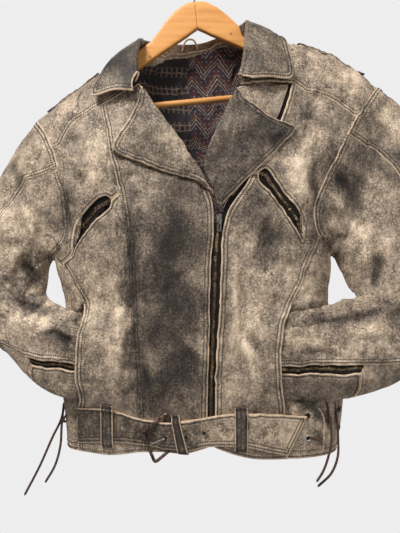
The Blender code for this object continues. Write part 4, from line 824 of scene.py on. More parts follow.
def zip_teeth(name, line, facing_out, finish, sides=(-1, 1), width=3.0 * MM, offset=0.9 * MM):
    """Zip teeth along a line, each row half a pitch ahead of the other and set off to its side."""
    rows = []
    for side in sides:
        centre, along, out = spaced(line, facing_out, TOOTH_PITCH)
        centre = centre + side * (offset * unit(np.cross(out, along)) + TOOTH_PITCH / 4 * along)
        rows.append(np.stack([centre, along, out]))
    shape = block(TOOTH_HALF_LENGTH, width / 2, TOOTH_HALF_HEIGHT, TOOTH_LIFT)
    return scattered(name, rows, shape, BLOCK_FACES, finish, smooth=False)


def carried(path, closed=False):
    """Tangents along a path, and two unit vectors across it: one square to Y, the other to both."""
    ahead, behind = np.roll(path, -1, axis=0), np.roll(path, 1, axis=0)
    if not closed:
        ahead[-1], behind[0] = path[-1], path[0]
    tangent = unit(ahead - behind)
    side = unit(np.cross(tangent, [0.0, 1.0, 0.0]))
    return tangent, side, np.cross(tangent, side)


def loft(name, rings, finish, closed=False):
    """A closed skin over rings of points; unless they close on themselves, a point caps each end."""
    count, around = rings.shape[:2]
    index = np.arange(count * around).reshape(count, around)
    if closed:
        index = np.vstack([index, index[:1]])
    index = np.hstack([index, index[:, :1]])
    points, groups = rings.reshape(-1, 3), [quads(index.T)]
    if not closed:
        points = np.vstack([points, rings[0].mean(axis=0), rings[-1].mean(axis=0)])
        first, last = index[0], index[-1]
        groups.append(gathered(first[1:], first[:-1], count * around))
        groups.append(gathered(last[:-1], last[1:], count * around + 1))
    return fill_mesh(name, points, groups, finish)


ROPE_END = 0.12                 # the square of an end ring's size against the full one


def rope(name, path, diameter, finish, closed=False, around=12, node=None):
    """A round bar or cord: a circle carried along a path, with rounded ends."""
    _, side, other = carried(path, closed)
    turn = all_round(around)
    size = np.full(len(path), diameter / 2)
    if not closed:
        from_end = np.minimum(lengths(path), lengths(path)[-1] - lengths(path))
        size = size * np.sqrt(np.clip(ROPE_END + from_end / (diameter / 2), 0, 1))
    circle = np.cos(turn)[None, :, None] * side[:, None] + np.sin(turn)[None, :, None] * other[:, None]
    made = loft(name, path[:, None] + size[:, None, None] * circle, finish, closed)
    if node:
        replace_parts(made, node)
    return made


# ---- finishes ----------------------------------------------------------------------------------
def operator(operation, swapped=False):
    """The method for one sign: a Math node over this wire and the other value, or swapped."""
    def method(self, other):
        """The sign's Math node."""
        return self.maths(operation, *((other, self) if swapped else (self, other)))
    return method


class Wire:
    """A shader socket that can be reckoned with: each operator adds a Math node."""

    __add__, __radd__ = operator("ADD"), operator("ADD", swapped=True)
    __sub__, __rsub__ = operator("SUBTRACT"), operator("SUBTRACT", swapped=True)
    __mul__, __rmul__ = operator("MULTIPLY"), operator("MULTIPLY", swapped=True)
    __truediv__ = operator("DIVIDE")

    def __init__(self, finish, socket):
        """The finish whose nodes it is among, and the output socket."""
        self.finish, self.socket = finish, socket

    def maths(self, operation, *values):
        """A Math node over the given values."""
        return self.finish.node("ShaderNodeMath", {"operation": operation}, dict(enumerate(values)))

    def size(self):
        """The value without its sign."""
        return self.maths("ABSOLUTE", self)

    def fraction(self):
        """What is left after the whole number below it."""
        return self.maths("FRACT", self)

    def there_and_back(self, scale):
        """Up from 0 to scale and down again, over and over."""
        return self.maths("PINGPONG", self, scale)

    def over(self, start, end):
        """0 at start and 1 at end, smooth between and held beyond: start may be the larger."""
        low, high = sorted((start, end))
        made = self.finish.node("ShaderNodeMapRange", {"interpolation_type": "SMOOTHSTEP"},
                                {"Value": self, "From Min": low, "From Max": high})
        return made if start < end else 1 - made


class Finish:
    """One material, and the frame's material slot that it stands for."""

    def __init__(self, slot, name, roughness=0.6, metallic=0.0):
        """slot is the frame's material name, name the new material's."""
        self.slot = slot
        self.material = bpy.data.materials.new(name)
        self.material.use_nodes = True
        self.tree = self.material.node_tree
        self.shader = self.tree.nodes["Principled BSDF"]
        self.set(Roughness=roughness, Metallic=metallic)

    def node(self, kind, settings=None, inputs=None, output=0):
        """A new node: settings are its own properties, inputs its sockets' values or wires."""
        made = self.tree.nodes.new(kind)
        for name, value in (settings or {}).items():
            if name == "stops":
                self.fill_ramp(made.color_ramp, value)
            else:
                setattr(made, name, value)
        for key, value in (inputs or {}).items():
            self.give(made.inputs[key], value)
        return Wire(self, made.outputs[output])

    def give(self, socket, value):
        """A wire linked to the socket, or a constant set on it."""
        if isinstance(value, Wire):
            self.tree.links.new(value.socket, socket)
        else:
            socket.default_value = value

    def set(self, **inputs):
        """The main shader's inputs, named with _ for a space."""
        for name, value in inputs.items():
            self.give(self.shader.inputs[name.replace("_", " ")], value)

    def fill_ramp(self, ramp, stops):
        """A colour ramp's elements from (place, colour) stops."""
        for place, _ in stops[1:-1]:
            ramp.elements.new(place)
        for element, (place, colour) in zip(ramp.elements, stops):
            element.position = place
            element.color = (*colour, 1.0)

    def ramp(self, value, stops, interpolation="LINEAR"):
        """The value looked up in a colour ramp."""
        made = self.node("ShaderNodeValToRGB", {"stops": stops}, {0: value})
        made.socket.node.color_ramp.interpolation = interpolation
        return made

    def mix(self, share, first, second):
        """(1 - share) * the first colour + share * the second."""
        colours = [value if isinstance(value, Wire) else (*value, 1.0) for value in (first, second)]
        inputs = {0: share, 6: colours[0], 7: colours[1]}
        return self.node("ShaderNodeMix", {"data_type": "RGBA"}, inputs, 2)

    def vector(self, operation, inputs, output=0):
        """A Vector Math node."""
        return self.node("ShaderNodeVectorMath", {"operation": operation}, inputs, output)

    def place(self, stretch=(1, 1, 1)):
        """Object coordinates, each axis multiplied."""
        here = self.node("ShaderNodeTexCoord", output="Object")
        if stretch == (1, 1, 1):
            return here
        return self.vector("MULTIPLY", {0: here, 1: stretch})

    def noise(self, scale, detail=3.0, roughness=0.55, at=None):
        """Noise from 0 to 1 in Object coordinates, scale in cells a metre."""
        inputs = {"Vector": at or self.place(), "Scale": scale, "Detail": detail,
                  "Roughness": roughness}
        return self.node("ShaderNodeTexNoise", None, inputs)

    def value(self, name):
        """One of the values that a grid carries."""
        return self.node("ShaderNodeAttribute", {"attribute_name": name}, output="Fac")

    def bump(self, height, distance, strength=1.0):
        """The height, in shares of a distance in metres, drawn into the surface's normals."""
        inputs = {"Height": height, "Distance": distance, "Strength": strength}
        self.set(Normal=self.node("ShaderNodeBump", None, inputs))


WORN_STOPS = [(0.0, (0.028, 0.020, 0.016)), (0.25, (0.096, 0.073, 0.054)), (0.5, (0.255, 0.196, 0.142)),
              (0.75, (0.53, 0.405, 0.288)), (1.0, (0.83, 0.66, 0.48))]
DARK_STOPS = [(0.0, (0.015, 0.012, 0.011)), (0.3, (0.046, 0.036, 0.030)), (0.55, (0.125, 0.095, 0.070)),
              (0.8, (0.38, 0.29, 0.20)), (1.0, (0.66, 0.51, 0.36))]
RUBBED = (0.74, 0.54, 0.36)
# near black, for real cracks and for painted shade in stitch grooves and fold troughs
CRACK_AND_SHADE = (0.018, 0.013, 0.012)

# The noises that break up the leather's tone: cells a metre, detail, roughness.
CLOUD, BLOTCH, SPECK, RAGGED = (14, 6, 0.62), (60, 6, 0.72), (330, 4, 0.7), (30, 6, 0.75)
GRAIN = (1100, 2)
STREAK_STRETCH = (3.2, 1.0, 0.7)          # makes ragged noise into upright streaks
# What each adds to the place in the ramp, for 1 of its noise or for 1 mm of fold; the fold's share is
# painted highlight on ridges and painted shade in troughs.
CLOUD_SHARE, BLOTCH_SHARE, STREAK_SHARE, SPECK_SHARE, FOLD_LIGHT_SHARE = 0.6, 0.8, 0.6, 1.35, 0.035
PATCH_GAIN, PATCH_LOSS = 0.34, 0.002      # a patch's tone is multiplied by gain * noise - loss
BORDER, BORDER_SHARE = (11.5, 9.0), 0.11  # a pale border, with its distances from an edge in mm
# Cracks are the borders of warped cells, where another noise lets them show.
CRACK_SCALE, CRACK_HALF_WIDTH, CRACK_STRENGTH = 190.0, 0.075, 0.6
CRACKED, CRACKED_OVER = (26, 3), (0.46, 0.60)
WARP_SCALE, WARP_REACH = 120.0, 0.008
# An edge is rubbed over a width in mm that a noise varies, and another breaks it up.
RUB_WIDTH, RUB_VARIES, RUB_FADE = 0.9, 1.8, 0.9
RUB_WIDTH_NOISE, RUB_BREAK_NOISE, RUB_BREAK_OVER = (120, 3), (200, 4, 0.7), (0.30, 0.46)
# Painted shade in the grooves of the two stitch rows: mm from the edge, and how far each side it starts
# and is whole.
SEAM_SHADE_LINES = [(3.9, (2.1, 0.4)), (8.8, (1.7, 0.3))]
SEAM_SHADE_STRENGTH, SECOND_SEAM_SHADE = 0.46, 0.8
TROUGH_SHADE, TROUGH_SHADE_STRENGTH = (1.0, 8.0), 0.34     # painted shade in a fold's trough, from 1 mm to whole at 8 mm deep
SHEEN, SHEEN_VARIES, SPECULAR = 0.48, 0.30, 0.35
BUMP_DISTANCE = 0.7 * MM


def make_leather(slot, name, stops, middle, rubbing):
    """Worn leather: a tone from the grid's own value, broken up by mottling of three sizes and upright
    streaks, and lifted by fold height as painted highlight on ridges and painted shade in troughs, is
    looked up in a ramp. Over it lie fine cracks, rubbed edges, painted shade along the stitch rows and
    painted shade in fold troughs."""
    made = Finish(slot, name)
    cloud, blotch, speck, grain = (made.noise(*settings) for settings in (CLOUD, BLOTCH, SPECK, GRAIN))
    streak = made.noise(*RAGGED, made.place(STREAK_STRETCH))
    fold, edge = made.value("fold") / MM, made.value("edge") / MM
    level = middle + made.value("tone") * (PATCH_GAIN * made.noise(*RAGGED) - PATCH_LOSS)
    for noise, share in ((cloud, CLOUD_SHARE), (blotch, BLOTCH_SHARE), (streak, STREAK_SHARE),
                         (speck, SPECK_SHARE)):
        level = level + share * (noise - 0.5)
    # fold height as painted highlight on ridges and painted shade in troughs; a pale worn border near
    # each edge
    level = level + FOLD_LIGHT_SHARE * fold + BORDER_SHARE * edge.over(*BORDER)
    colour = made.ramp(level, stops)

    drift = made.node("ShaderNodeTexNoise", None, {"Vector": made.place(), "Scale": WARP_SCALE},
                      "Color")
    drift = made.vector("SCALE", {0: drift, "Scale": WARP_REACH})
    warped = made.vector("ADD", {0: made.place(), 1: drift})
    cell = made.node("ShaderNodeTexVoronoi", {"feature": "DISTANCE_TO_EDGE"},
                     {"Vector": warped, "Scale": CRACK_SCALE})
    crack = cell.over(CRACK_HALF_WIDTH, 0.0) * made.noise(*CRACKED).over(*CRACKED_OVER)
    colour = made.mix(CRACK_STRENGTH * crack, colour, CRACK_AND_SHADE)

    rub_width = RUB_WIDTH + RUB_VARIES * made.noise(*RUB_WIDTH_NOISE)
    rub_break = made.noise(*RUB_BREAK_NOISE).over(*RUB_BREAK_OVER)
    rub = (rub_width - edge).over(0.0, RUB_FADE) * rub_break * rubbing
    colour = made.mix(rub, colour, RUBBED)
    # painted shade along the stitch rows' grooves, held off where the edge is rubbed
    first, second = ((edge - away).size().over(*reach) for away, reach in SEAM_SHADE_LINES)
    colour = made.mix(SEAM_SHADE_STRENGTH * (first + SECOND_SEAM_SHADE * second) * (1 - rub), colour, CRACK_AND_SHADE)
    # painted shade in fold troughs
    colour = made.mix(TROUGH_SHADE_STRENGTH * (-1 * fold).over(*TROUGH_SHADE), colour, CRACK_AND_SHADE)
    made.set(Base_Color=colour, Roughness=SHEEN + SHEEN_VARIES * speck, Specular_IOR_Level=SPECULAR)
    made.bump(0.30 * grain + 0.5 * speck - 0.8 * crack + 0.4 * blotch, BUMP_DISTANCE)
    return made


leather = make_leather("tan_grey_leather", "worn_leather", WORN_STOPS, 0.53, 1.0)
dark_leather = make_leather("dark_rubbed_leather", "dark_leather", DARK_STOPS, 0.42, 0.85)


def make_plain(slot, name, roughness, noise, stops, relief=0.0, **inputs):
    """A finish of one noise, looked up in a ramp; relief is its height in metres, if it has any."""
    made = Finish(slot, name, roughness)
    grain = made.noise(*noise)
    made.set(Base_Color=made.ramp(grain, stops), **inputs)
    if relief:
        made.bump(grain, relief)
    return made


zip_tape = make_plain("black_zip_tape", "woven_tape", 0.9, (900, 2),
                      [(0.3, (0.005, 0.004, 0.004)), (0.7, (0.022, 0.018, 0.016))],
                      0.3 * MM, Specular_IOR_Level=0.15)
thread_finish = make_plain("dark_rubbed_leather", "thread", 0.8, (150, 3),
                           [(0.4, (0.008, 0.006, 0.006)), (0.7, (0.035, 0.025, 0.020))])
lace_leather = make_plain("brown_lace", "lace", 0.62, (420, 4, 0.6),
                          [(0.3, (0.022, 0.012, 0.009)), (0.7, (0.12, 0.065, 0.038))], 0.5 * MM)
cream_welt = make_plain("tan_grey_leather", "welt", 0.7, (260, 4, 0.7),
                        [(0.35, (0.22, 0.165, 0.115)), (0.6, RUBBED)])


def make_metal(slot, name, dark, light, scale, roughness):
    """Metal whose colour wanders between a dark, tarnished one and a light, rubbed one."""
    made = Finish(slot, name, metallic=1.0)
    wear = made.noise(scale, 4, 0.6)
    made.set(Base_Color=made.ramp(wear, [(0.36, dark), (0.64, light)]),
             Roughness=roughness + 0.25 * wear)
    made.bump(wear, 0.2 * MM, 0.5)
    return made


# slot, name, dark colour, light colour, cells a metre of the noise, least roughness
METALS = [("antique_brass", "brass", (0.055, 0.038, 0.024), (0.42, 0.30, 0.17), 320, 0.28),
          ("dark_bronze_buckle", "bronze", (0.050, 0.032, 0.026), (0.26, 0.175, 0.135), 260, 0.34),
          ("bright_steel", "dull_steel", (0.16, 0.14, 0.13), (0.50, 0.47, 0.44), 300, 0.2),
          ("bright_steel", "steel", (0.42, 0.40, 0.38), (0.72, 0.71, 0.69), 200, 0.16)]
antique_brass, bronze_buckle, dull_steel, bright_steel = (make_metal(*metal) for metal in METALS)

lacquered_wood = Finish("lacquered_pine", "pine", 0.5)
wood_grain = lacquered_wood.noise(9, 6, 0.6, lacquered_wood.place((1.0, 6.0, 14.0)))
WOOD_STOPS = [(0.15, (0.50, 0.175, 0.036)), (0.5, (0.74, 0.33, 0.080)), (0.9, (0.84, 0.43, 0.13))]
wood_colour = lacquered_wood.ramp(wood_grain, WOOD_STOPS)
KNOTS = [(-74.6, -154.6, 3.0), (64.7, -136.4, 3.4), (59.7, -116.5, 2.4)]   # x, height and radius
KNOT_COLOUR, KNOT_STRENGTH = (0.22, 0.075, 0.02), 0.7
for knot_x, knot_z, knot_size in KNOTS:
    knot_way = lacquered_wood.vector("SUBTRACT", {0: lacquered_wood.place((1.0, 0.0, 1.0)),
                                                  1: (knot_x * MM, 0, knot_z * MM)})
    knot_away = lacquered_wood.vector("LENGTH", {0: knot_way}, "Value") / MM
    wood_colour = lacquered_wood.mix(KNOT_STRENGTH * knot_away.over(knot_size * 1.5, knot_size * 0.4),
                                     wood_colour, KNOT_COLOUR)
lacquered_wood.set(Base_Color=wood_colour, Coat_Weight=0.05)
lacquered_wood.bump(wood_grain, 0.3 * MM)

# The lining's print: chevrons with dots on one side, rows of small squares on the other.
BAND, CHEVRON, SLOPE = 44.0, 34.0, 1.6    # a zigzag's width, its height, and how steeply it goes; mm
DOT_PITCH, DOT_OVER, DOT_STRENGTH = 8, (0.80, 0.86), 0.5
PRINT_SEAM = 124.0               # where the one print stops and the other starts, mm from the edge
SQUARE, STRIPE = 9.0, 31
THREAD_SHARE = 0.12
PRINT_STOPS = [(0.0, (0.014, 0.012, 0.026)), (0.22, (0.26, 0.20, 0.15)), (0.27, (0.055, 0.010, 0.014)),
               (0.44, (0.42, 0.37, 0.31)), (0.48, (0.008, 0.007, 0.013)), (0.62, (0.19, 0.095, 0.045)),
               (0.70, (0.055, 0.010, 0.014)), (1.0, (0.055, 0.010, 0.014))]
SQUARE_STOPS = [(0.0, (0.014, 0.009, 0.012)), (0.55, (0.035, 0.022, 0.022)),
                (0.80, (0.20, 0.135, 0.095)), (1.0, (0.20, 0.135, 0.095))]
printed_lining = Finish("printed_cotton_lining", "print", 0.85)
print_uv = printed_lining.node("ShaderNodeUVMap", {"uv_map": "UVMap"})
print_u, print_v = (printed_lining.node("ShaderNodeSeparateXYZ", None, {0: print_uv}, axis) / MM
                    for axis in (0, 1))
print_zigzag = (print_v / CHEVRON + (print_u / BAND).there_and_back(0.5) * SLOPE).fraction()
chevrons = printed_lining.ramp(print_zigzag, PRINT_STOPS, "CONSTANT")


def between_lines(pitch):
    """How far the nearest of lines a pitch apart is, across and along the print: 0 to 0.5 each."""
    return [(place / pitch).there_and_back(0.5) for place in (print_u, print_v)]


dot_across, dot_along = between_lines(DOT_PITCH)
print_dot = (dot_across + dot_along).over(*DOT_OVER)
chevrons = printed_lining.mix(DOT_STRENGTH * print_dot, chevrons, (0.42, 0.38, 0.34))
cell_across, cell_along = between_lines(SQUARE)
print_cell = cell_across.maths("MAXIMUM", cell_across, cell_along)
print_stripe = (print_v / STRIPE).fraction().over(0.45, 0.5)
squares = printed_lining.ramp(2 * print_cell * (0.55 + 0.45 * print_stripe), SQUARE_STOPS, "CONSTANT")
print_colour = printed_lining.mix(print_u.over(PRINT_SEAM, PRINT_SEAM + 1), squares, chevrons)
print_thread = printed_lining.noise(1500, 2)
print_weave = printed_lining.ramp(print_thread, [(0.3, (0.0, 0.0, 0.0)), (0.7, (0.12, 0.10, 0.09))])
printed_lining.set(Base_Color=printed_lining.mix(THREAD_SHARE, print_colour, print_weave))
printed_lining.bump(print_thread, 0.2 * MM)

# ---- seam lines, in millimetres (x, height) --------------------------------------------------
YOKE_LEFT = [(-217, -322), (-206, -314), (-197, -298), (-185, -279), (-166, -267), (-144, -253)]
YOKE_LEFT_HIDDEN = [(-144, -253), (-115, -236), (-86, -222)]
YOKE_RIGHT = [(150, -221), (171, -232), (196, -239), (215, -248), (237, -260), (250, -269)]
YOKE_RIGHT_HIDDEN = [(70, -223), (110, -217), (150, -221)]
NECK_LEFT = [(-86, -222), (-92, -200), (-97, -175), (-101, -137.8)]
NECK_RIGHT = [(70, -223), (79, -197), (88, -165), (97, -116.8)]
NECK_BACK = [(-101, -137.8), (-82, -139), (-60, -139), (-20, -134), (25, -125), (62, -117), (80, -115),
             (97, -116.8)]

ARMHOLE_LEFT_TOP = [(-259, -264), (-235, -291), (-217, -322)]
ARMHOLE_LEFT = [(-217, -322), (-208, -353), (-199, -381), (-195, -412), (-194, -445), (-199, -461),
                (-211, -474), (-223, -484)]
ARMHOLE_RIGHT_TOP = [(298, -207.5), (275, -235), (250, -269)]
ARMHOLE_RIGHT = [(250, -269), (233, -297), (212, -342), (197, -373), (187, -400), (183, -425),
                 (187, -443), (195, -458)]
ARMHOLE_BACK_LEFT = [(-219, -484), (-214, -455), (-214, -410), (-220, -360), (-236, -310), (-259, -264)]
ARMHOLE_BACK_RIGHT = [(212, -474), (206, -440), (208, -390), (224, -330), (255, -270), (298, -207.5)]

PRINCESS = [(-144, -253), (-136, -294), (-130, -328), (-120, -364), (-113, -390), (-103, -456),
            (-99, -492), (-95, -598), (-87, -704), (-84, -785)]
FRONT_EDGE_LEFT = [(-223, -484), (-209, -497), (-194, -521), (-178, -549), (-169, -566),
                   (-168, -580), (-173, -604), (-175, -642), (-176, -674), (-174, -705),
                   (-181, -720), (-183, -778), (-183, -791)]
FRONT_EDGE_RIGHT = [(195, -458), (176, -497), (161, -533), (145, -564), (134, -587), (130, -607),
                    (127, -642), (129, -673), (133, -696), (137, -716), (139, -757), (143, -798)]
ZIP_EDGE_LEFT = [(-86, -222), (-68, -244), (-43, -280), (-19, -316), (-2, -342), (14, -366),
                 (19, -383), (25, -396), (28, -411), (29, -440), (26, -492), (20, -721), (20, -777)]
ZIP_EDGE_RIGHT = [(150, -221), (131, -277), (108, -320), (85, -360), (78, -376), (62, -399), (50, -420),
                  (45, -437), (41, -462), (40, -492), (31, -718), (31, -777)]
HEM_LEFT_SIDE = [(-183, -791), (-164, -791), (-131, -792), (-84, -785)]
HEM_LEFT_FRONT = [(-84, -785), (-50, -784), (-13, -786), (20, -777)]
HEM_RIGHT = [(31, -777), (60, -788), (83, -794), (143, -798)]

# The chest pockets: each mouth is a crescent between an upper arc and a lower edge.
POCKET_LEFT_ARC = [(-190, -483), (-188, -455), (-183, -437), (-170, -421), (-157, -407),
                   (-145, -398), (-134, -395), (-126, -401)]
POCKET_LEFT_EDGE = [(-190, -483), (-186, -476), (-176, -461), (-164, -445), (-153, -433), (-139, -421),
                    (-128, -411), (-126, -401)]
POCKET_RIGHT_ARC = [(97, -360), (106, -354), (123, -373), (140, -394), (161, -419), (168, -445),
                    (167, -461)]
POCKET_RIGHT_EDGE = [(97, -360), (97, -368), (114, -388), (136, -415), (157, -446), (167, -461)]

# Heights of the rows that cross a tucked cuff, shared by every panel beside the pockets.
POCKET_ROWS = [-575, -603, -640, -675, -703, -722, -757]
ZIP_LEFT_HEIGHTS = [-222, -250, -280, -311, -342, -366, -396, -455, -525] + POCKET_ROWS + [-777]
PRINCESS_HEIGHTS = [-253, -276, -300, -322, -344, -366, -390, -455, -525] + POCKET_ROWS + [-785]
EDGE_LEFT_HEIGHTS = [-484, -497, -524, -555] + POCKET_ROWS + [-791]
EDGE_RIGHT_HEIGHTS = [-458, -497, -524, -555] + POCKET_ROWS + [-798]
ZIP_RIGHT_HEIGHTS = [-221, -245, -268, -291, -314, -337, -360, -410, -470, -530] + POCKET_ROWS + [-777]
BACK_SEAM_LEFT_HEIGHTS = [-795, -735, -670, -610, -550, -484]
BACK_SEAM_RIGHT_HEIGHTS = [-799, -735, -670, -610, -545, -474]
UNDERARM_LEFT_LOWEST, UNDERARM_RIGHT_LOWEST = -491 * MM, -485 * MM
RIDGE_PIECES = 11

YOKE_ARMHOLE_SHARES = [0, 0.25, 0.6, 1]      # closer together over the rounded shoulder
BACK_ARMHOLE_SHARES = [0, 0.22, 0.44, 0.64, 0.81, 0.93, 1]
YOKE_NECK_SHARES = [0, 0.42, 0.77, 1]


armhole_left_top = curve(ARMHOLE_LEFT_TOP, YOKE_ARMHOLE_SHARES)
armhole_left = curve(ARMHOLE_LEFT, 6)
armhole_back_left = curve(ARMHOLE_BACK_LEFT, BACK_ARMHOLE_SHARES)
armhole_right_top = curve(ARMHOLE_RIGHT_TOP, YOKE_ARMHOLE_SHARES)
armhole_right = curve(ARMHOLE_RIGHT, 6)
armhole_back_right = curve(ARMHOLE_BACK_RIGHT, BACK_ARMHOLE_SHARES)
yoke_left = curve(YOKE_LEFT, 8)
yoke_left_hidden = curve(YOKE_LEFT_HIDDEN, 3)
yoke_right = curve(YOKE_RIGHT, 8)
yoke_right_hidden = curve(YOKE_RIGHT_HIDDEN, 3)
neck_left = curve(NECK_LEFT, YOKE_NECK_SHARES)
neck_right = curve(NECK_RIGHT, YOKE_NECK_SHARES)
neck_back = curve(NECK_BACK, 8)
princess = at_heights(PRINCESS, PRINCESS_HEIGHTS)
zip_left = at_heights(ZIP_EDGE_LEFT, ZIP_LEFT_HEIGHTS)
zip_right = at_heights(ZIP_EDGE_RIGHT, ZIP_RIGHT_HEIGHTS)
front_edge_left = at_heights(FRONT_EDGE_LEFT, EDGE_LEFT_HEIGHTS)
front_edge_right = at_heights(FRONT_EDGE_RIGHT, EDGE_RIGHT_HEIGHTS)


def ridge_line(start, end):
    """Evenly spaced (x, z) points along the shoulder ridge."""
    x = np.linspace(start, end, RIDGE_PIECES * FINENESS + 1)
    return gathered(x, ridge_height(x))


ridge_left = ridge_line(armhole_left_top[0, 0], neck_left[-1, 0])
ridge_right = ridge_line(neck_right[-1, 0], armhole_right_top[0, 0])


def underarm(front_corner, back_corner, lowest):
    """The armhole across the side panel, from its front corner to its back one."""
    turn = 2 * np.pi if front_corner[0] > 0 else 0
    start = float(side_angle(*front_corner))
    end = float(side_angle(*back_corner, back=True)) - turn
    t = fine(np.linspace(0, 1, 5))
    dip = lowest - (front_corner[1] + back_corner[1]) / 2
    height = (1 - t) * front_corner[1] + t * back_corner[1] + 4 * t * (1 - t) * dip
    return gathered(start + t * (end - start), height)


under_left = underarm(armhole_left[-1], armhole_back_left[0], UNDERARM_LEFT_LOWEST)
under_right = underarm(armhole_right[-1], armhole_back_right[0], UNDERARM_RIGHT_LOWEST)


def armhole_ring(top, front, side, back):
    """The armhole from the shoulder tip down the front and up the back, and the body's normals."""
    pieces = [(on_yoke, to_climb(top, FRONT_RISE)), (on_front, front), (on_side, side),
              (on_back, to_climb(back, BACK_RISE))]
    points = np.concatenate([place(pattern)[:-1] for place, pattern in pieces])
    facing = np.concatenate([normals(place, pattern)[:-1] for place, pattern in pieces])
    return points, facing


# ---- sleeves: one row for each section -------------------------------------------------------
# Outer is the elbow side and inner the side nearer the body, both x and height. Depth is Y of the
# section's middle. The seams are angles round the section: 0 outer, 90 front, 180 inner, -90 back.
#    outer       inner       depth  half   square- front  back
#   x     z     x     z             thick  ness    seam   seam
SLEEVE_LEFT = [
    (-281, -295, -235, -492, -12.0, 40.0, 2.2, 76, -66),
    (-307, -339, -238, -500, -14.0, 41.0, 2.2, 77, -55),
    (-332, -388, -240, -511, -16.0, 40.0, 2.2, 70, -42),
    (-353, -449, -240, -524, -21.0, 38.0, 2.2, 64, -28),
    (-364, -514, -240, -538, -28.0, 36.0, 2.2, 72, -14),
    (-358, -571, -238, -549, -36.0, 34.0, 2.1, 97,   0),
    (-333, -609, -230, -555, -45.0, 31.0, 2.0, 118,  16),
    (-298, -632, -220, -559, -54.0, 28.0, 1.9, 130,  36),
    (-264, -665, -205, -564, -63.0, 24.0, 1.8, 136,  58),
    (-228, -691, -176, -575, -72.0, 19.5, 1.7, 142,  76),
    (-190, -702, -148, -592, -76.5, 16.0, 1.7, 143,  86),
    (-163, -694, -121, -611, -77.0, 13.5, 1.7, 143,  88)]
SLEEVE_RIGHT = [
    (325, -226, 229, -483, -12.0, 40.0, 2.2, 78, -66),
    (353, -263, 234, -492, -14.0, 42.0, 2.2, 76, -58),
    (378, -311, 239, -504, -16.0, 42.0, 2.2, 74, -48),
    (396, -376, 245, -519, -21.0, 40.0, 2.2, 64, -36),
    (405, -457, 250, -534, -28.0, 38.0, 2.2, 62, -22),
    (402, -539, 254, -545, -36.0, 36.0, 2.1, 80,  -6),
    (386, -614, 255, -551, -45.0, 33.0, 2.0, 110,  14),
    (346, -657, 246, -552, -54.0, 29.0, 1.9, 126,  38),
    (300, -686, 230, -552, -63.0, 25.0, 1.8, 131,  60),
    (248, -700, 203, -562, -71.0, 21.0, 1.7, 136,  72),
    (197, -706, 169, -568, -76.0, 17.5, 1.7, 136,  76),
    (136, -703, 134, -574, -77.0, 16.5, 1.7, 136,  76),
    (97, -696, 96, -586, -77.0, 15.0, 1.7, 136,  76)]
RING_FRONT_PIECES, RING_BACK_PIECES = 11, 8
FRONT_SEAM_AT, BACK_SEAM_AT = 4, 16      # ring points where the sleeve's two seams start
ZIP_DEGREES = 11                         # the cuff zip's width round the section
ZIP_LAP_DEGREES = 2
SLEEVE_ROWS = 16
CUFF_ZIP_LEFT, CUFF_ZIP_RIGHT = 9.2, 9.8  # the section where each cuff's zip starts
ZIP_OPENS = 0.25                         # over this many sections the under sleeve makes room for it
ZIP_STARTS, ZIP_STOPS = 0.22, 0.05       # the tape's ends, above the zip's start and short of the cuff
CUFF_SEAM_DROP = 0.5                     # the cuff's seam lies this much below the zip's start
CUFF_SEAM_RISE = (0.75, 1.0)             # and rises to it over this part of its length
NORMAL_SECTION_STEP, NORMAL_DEGREE_STEP = 0.01, 0.5


ring_angle = fine(np.r_[np.arange(RING_FRONT_PIECES) * 180 / RING_FRONT_PIECES,
                        180 + np.arange(RING_BACK_PIECES) * 180 / RING_BACK_PIECES, 360])[:-1]


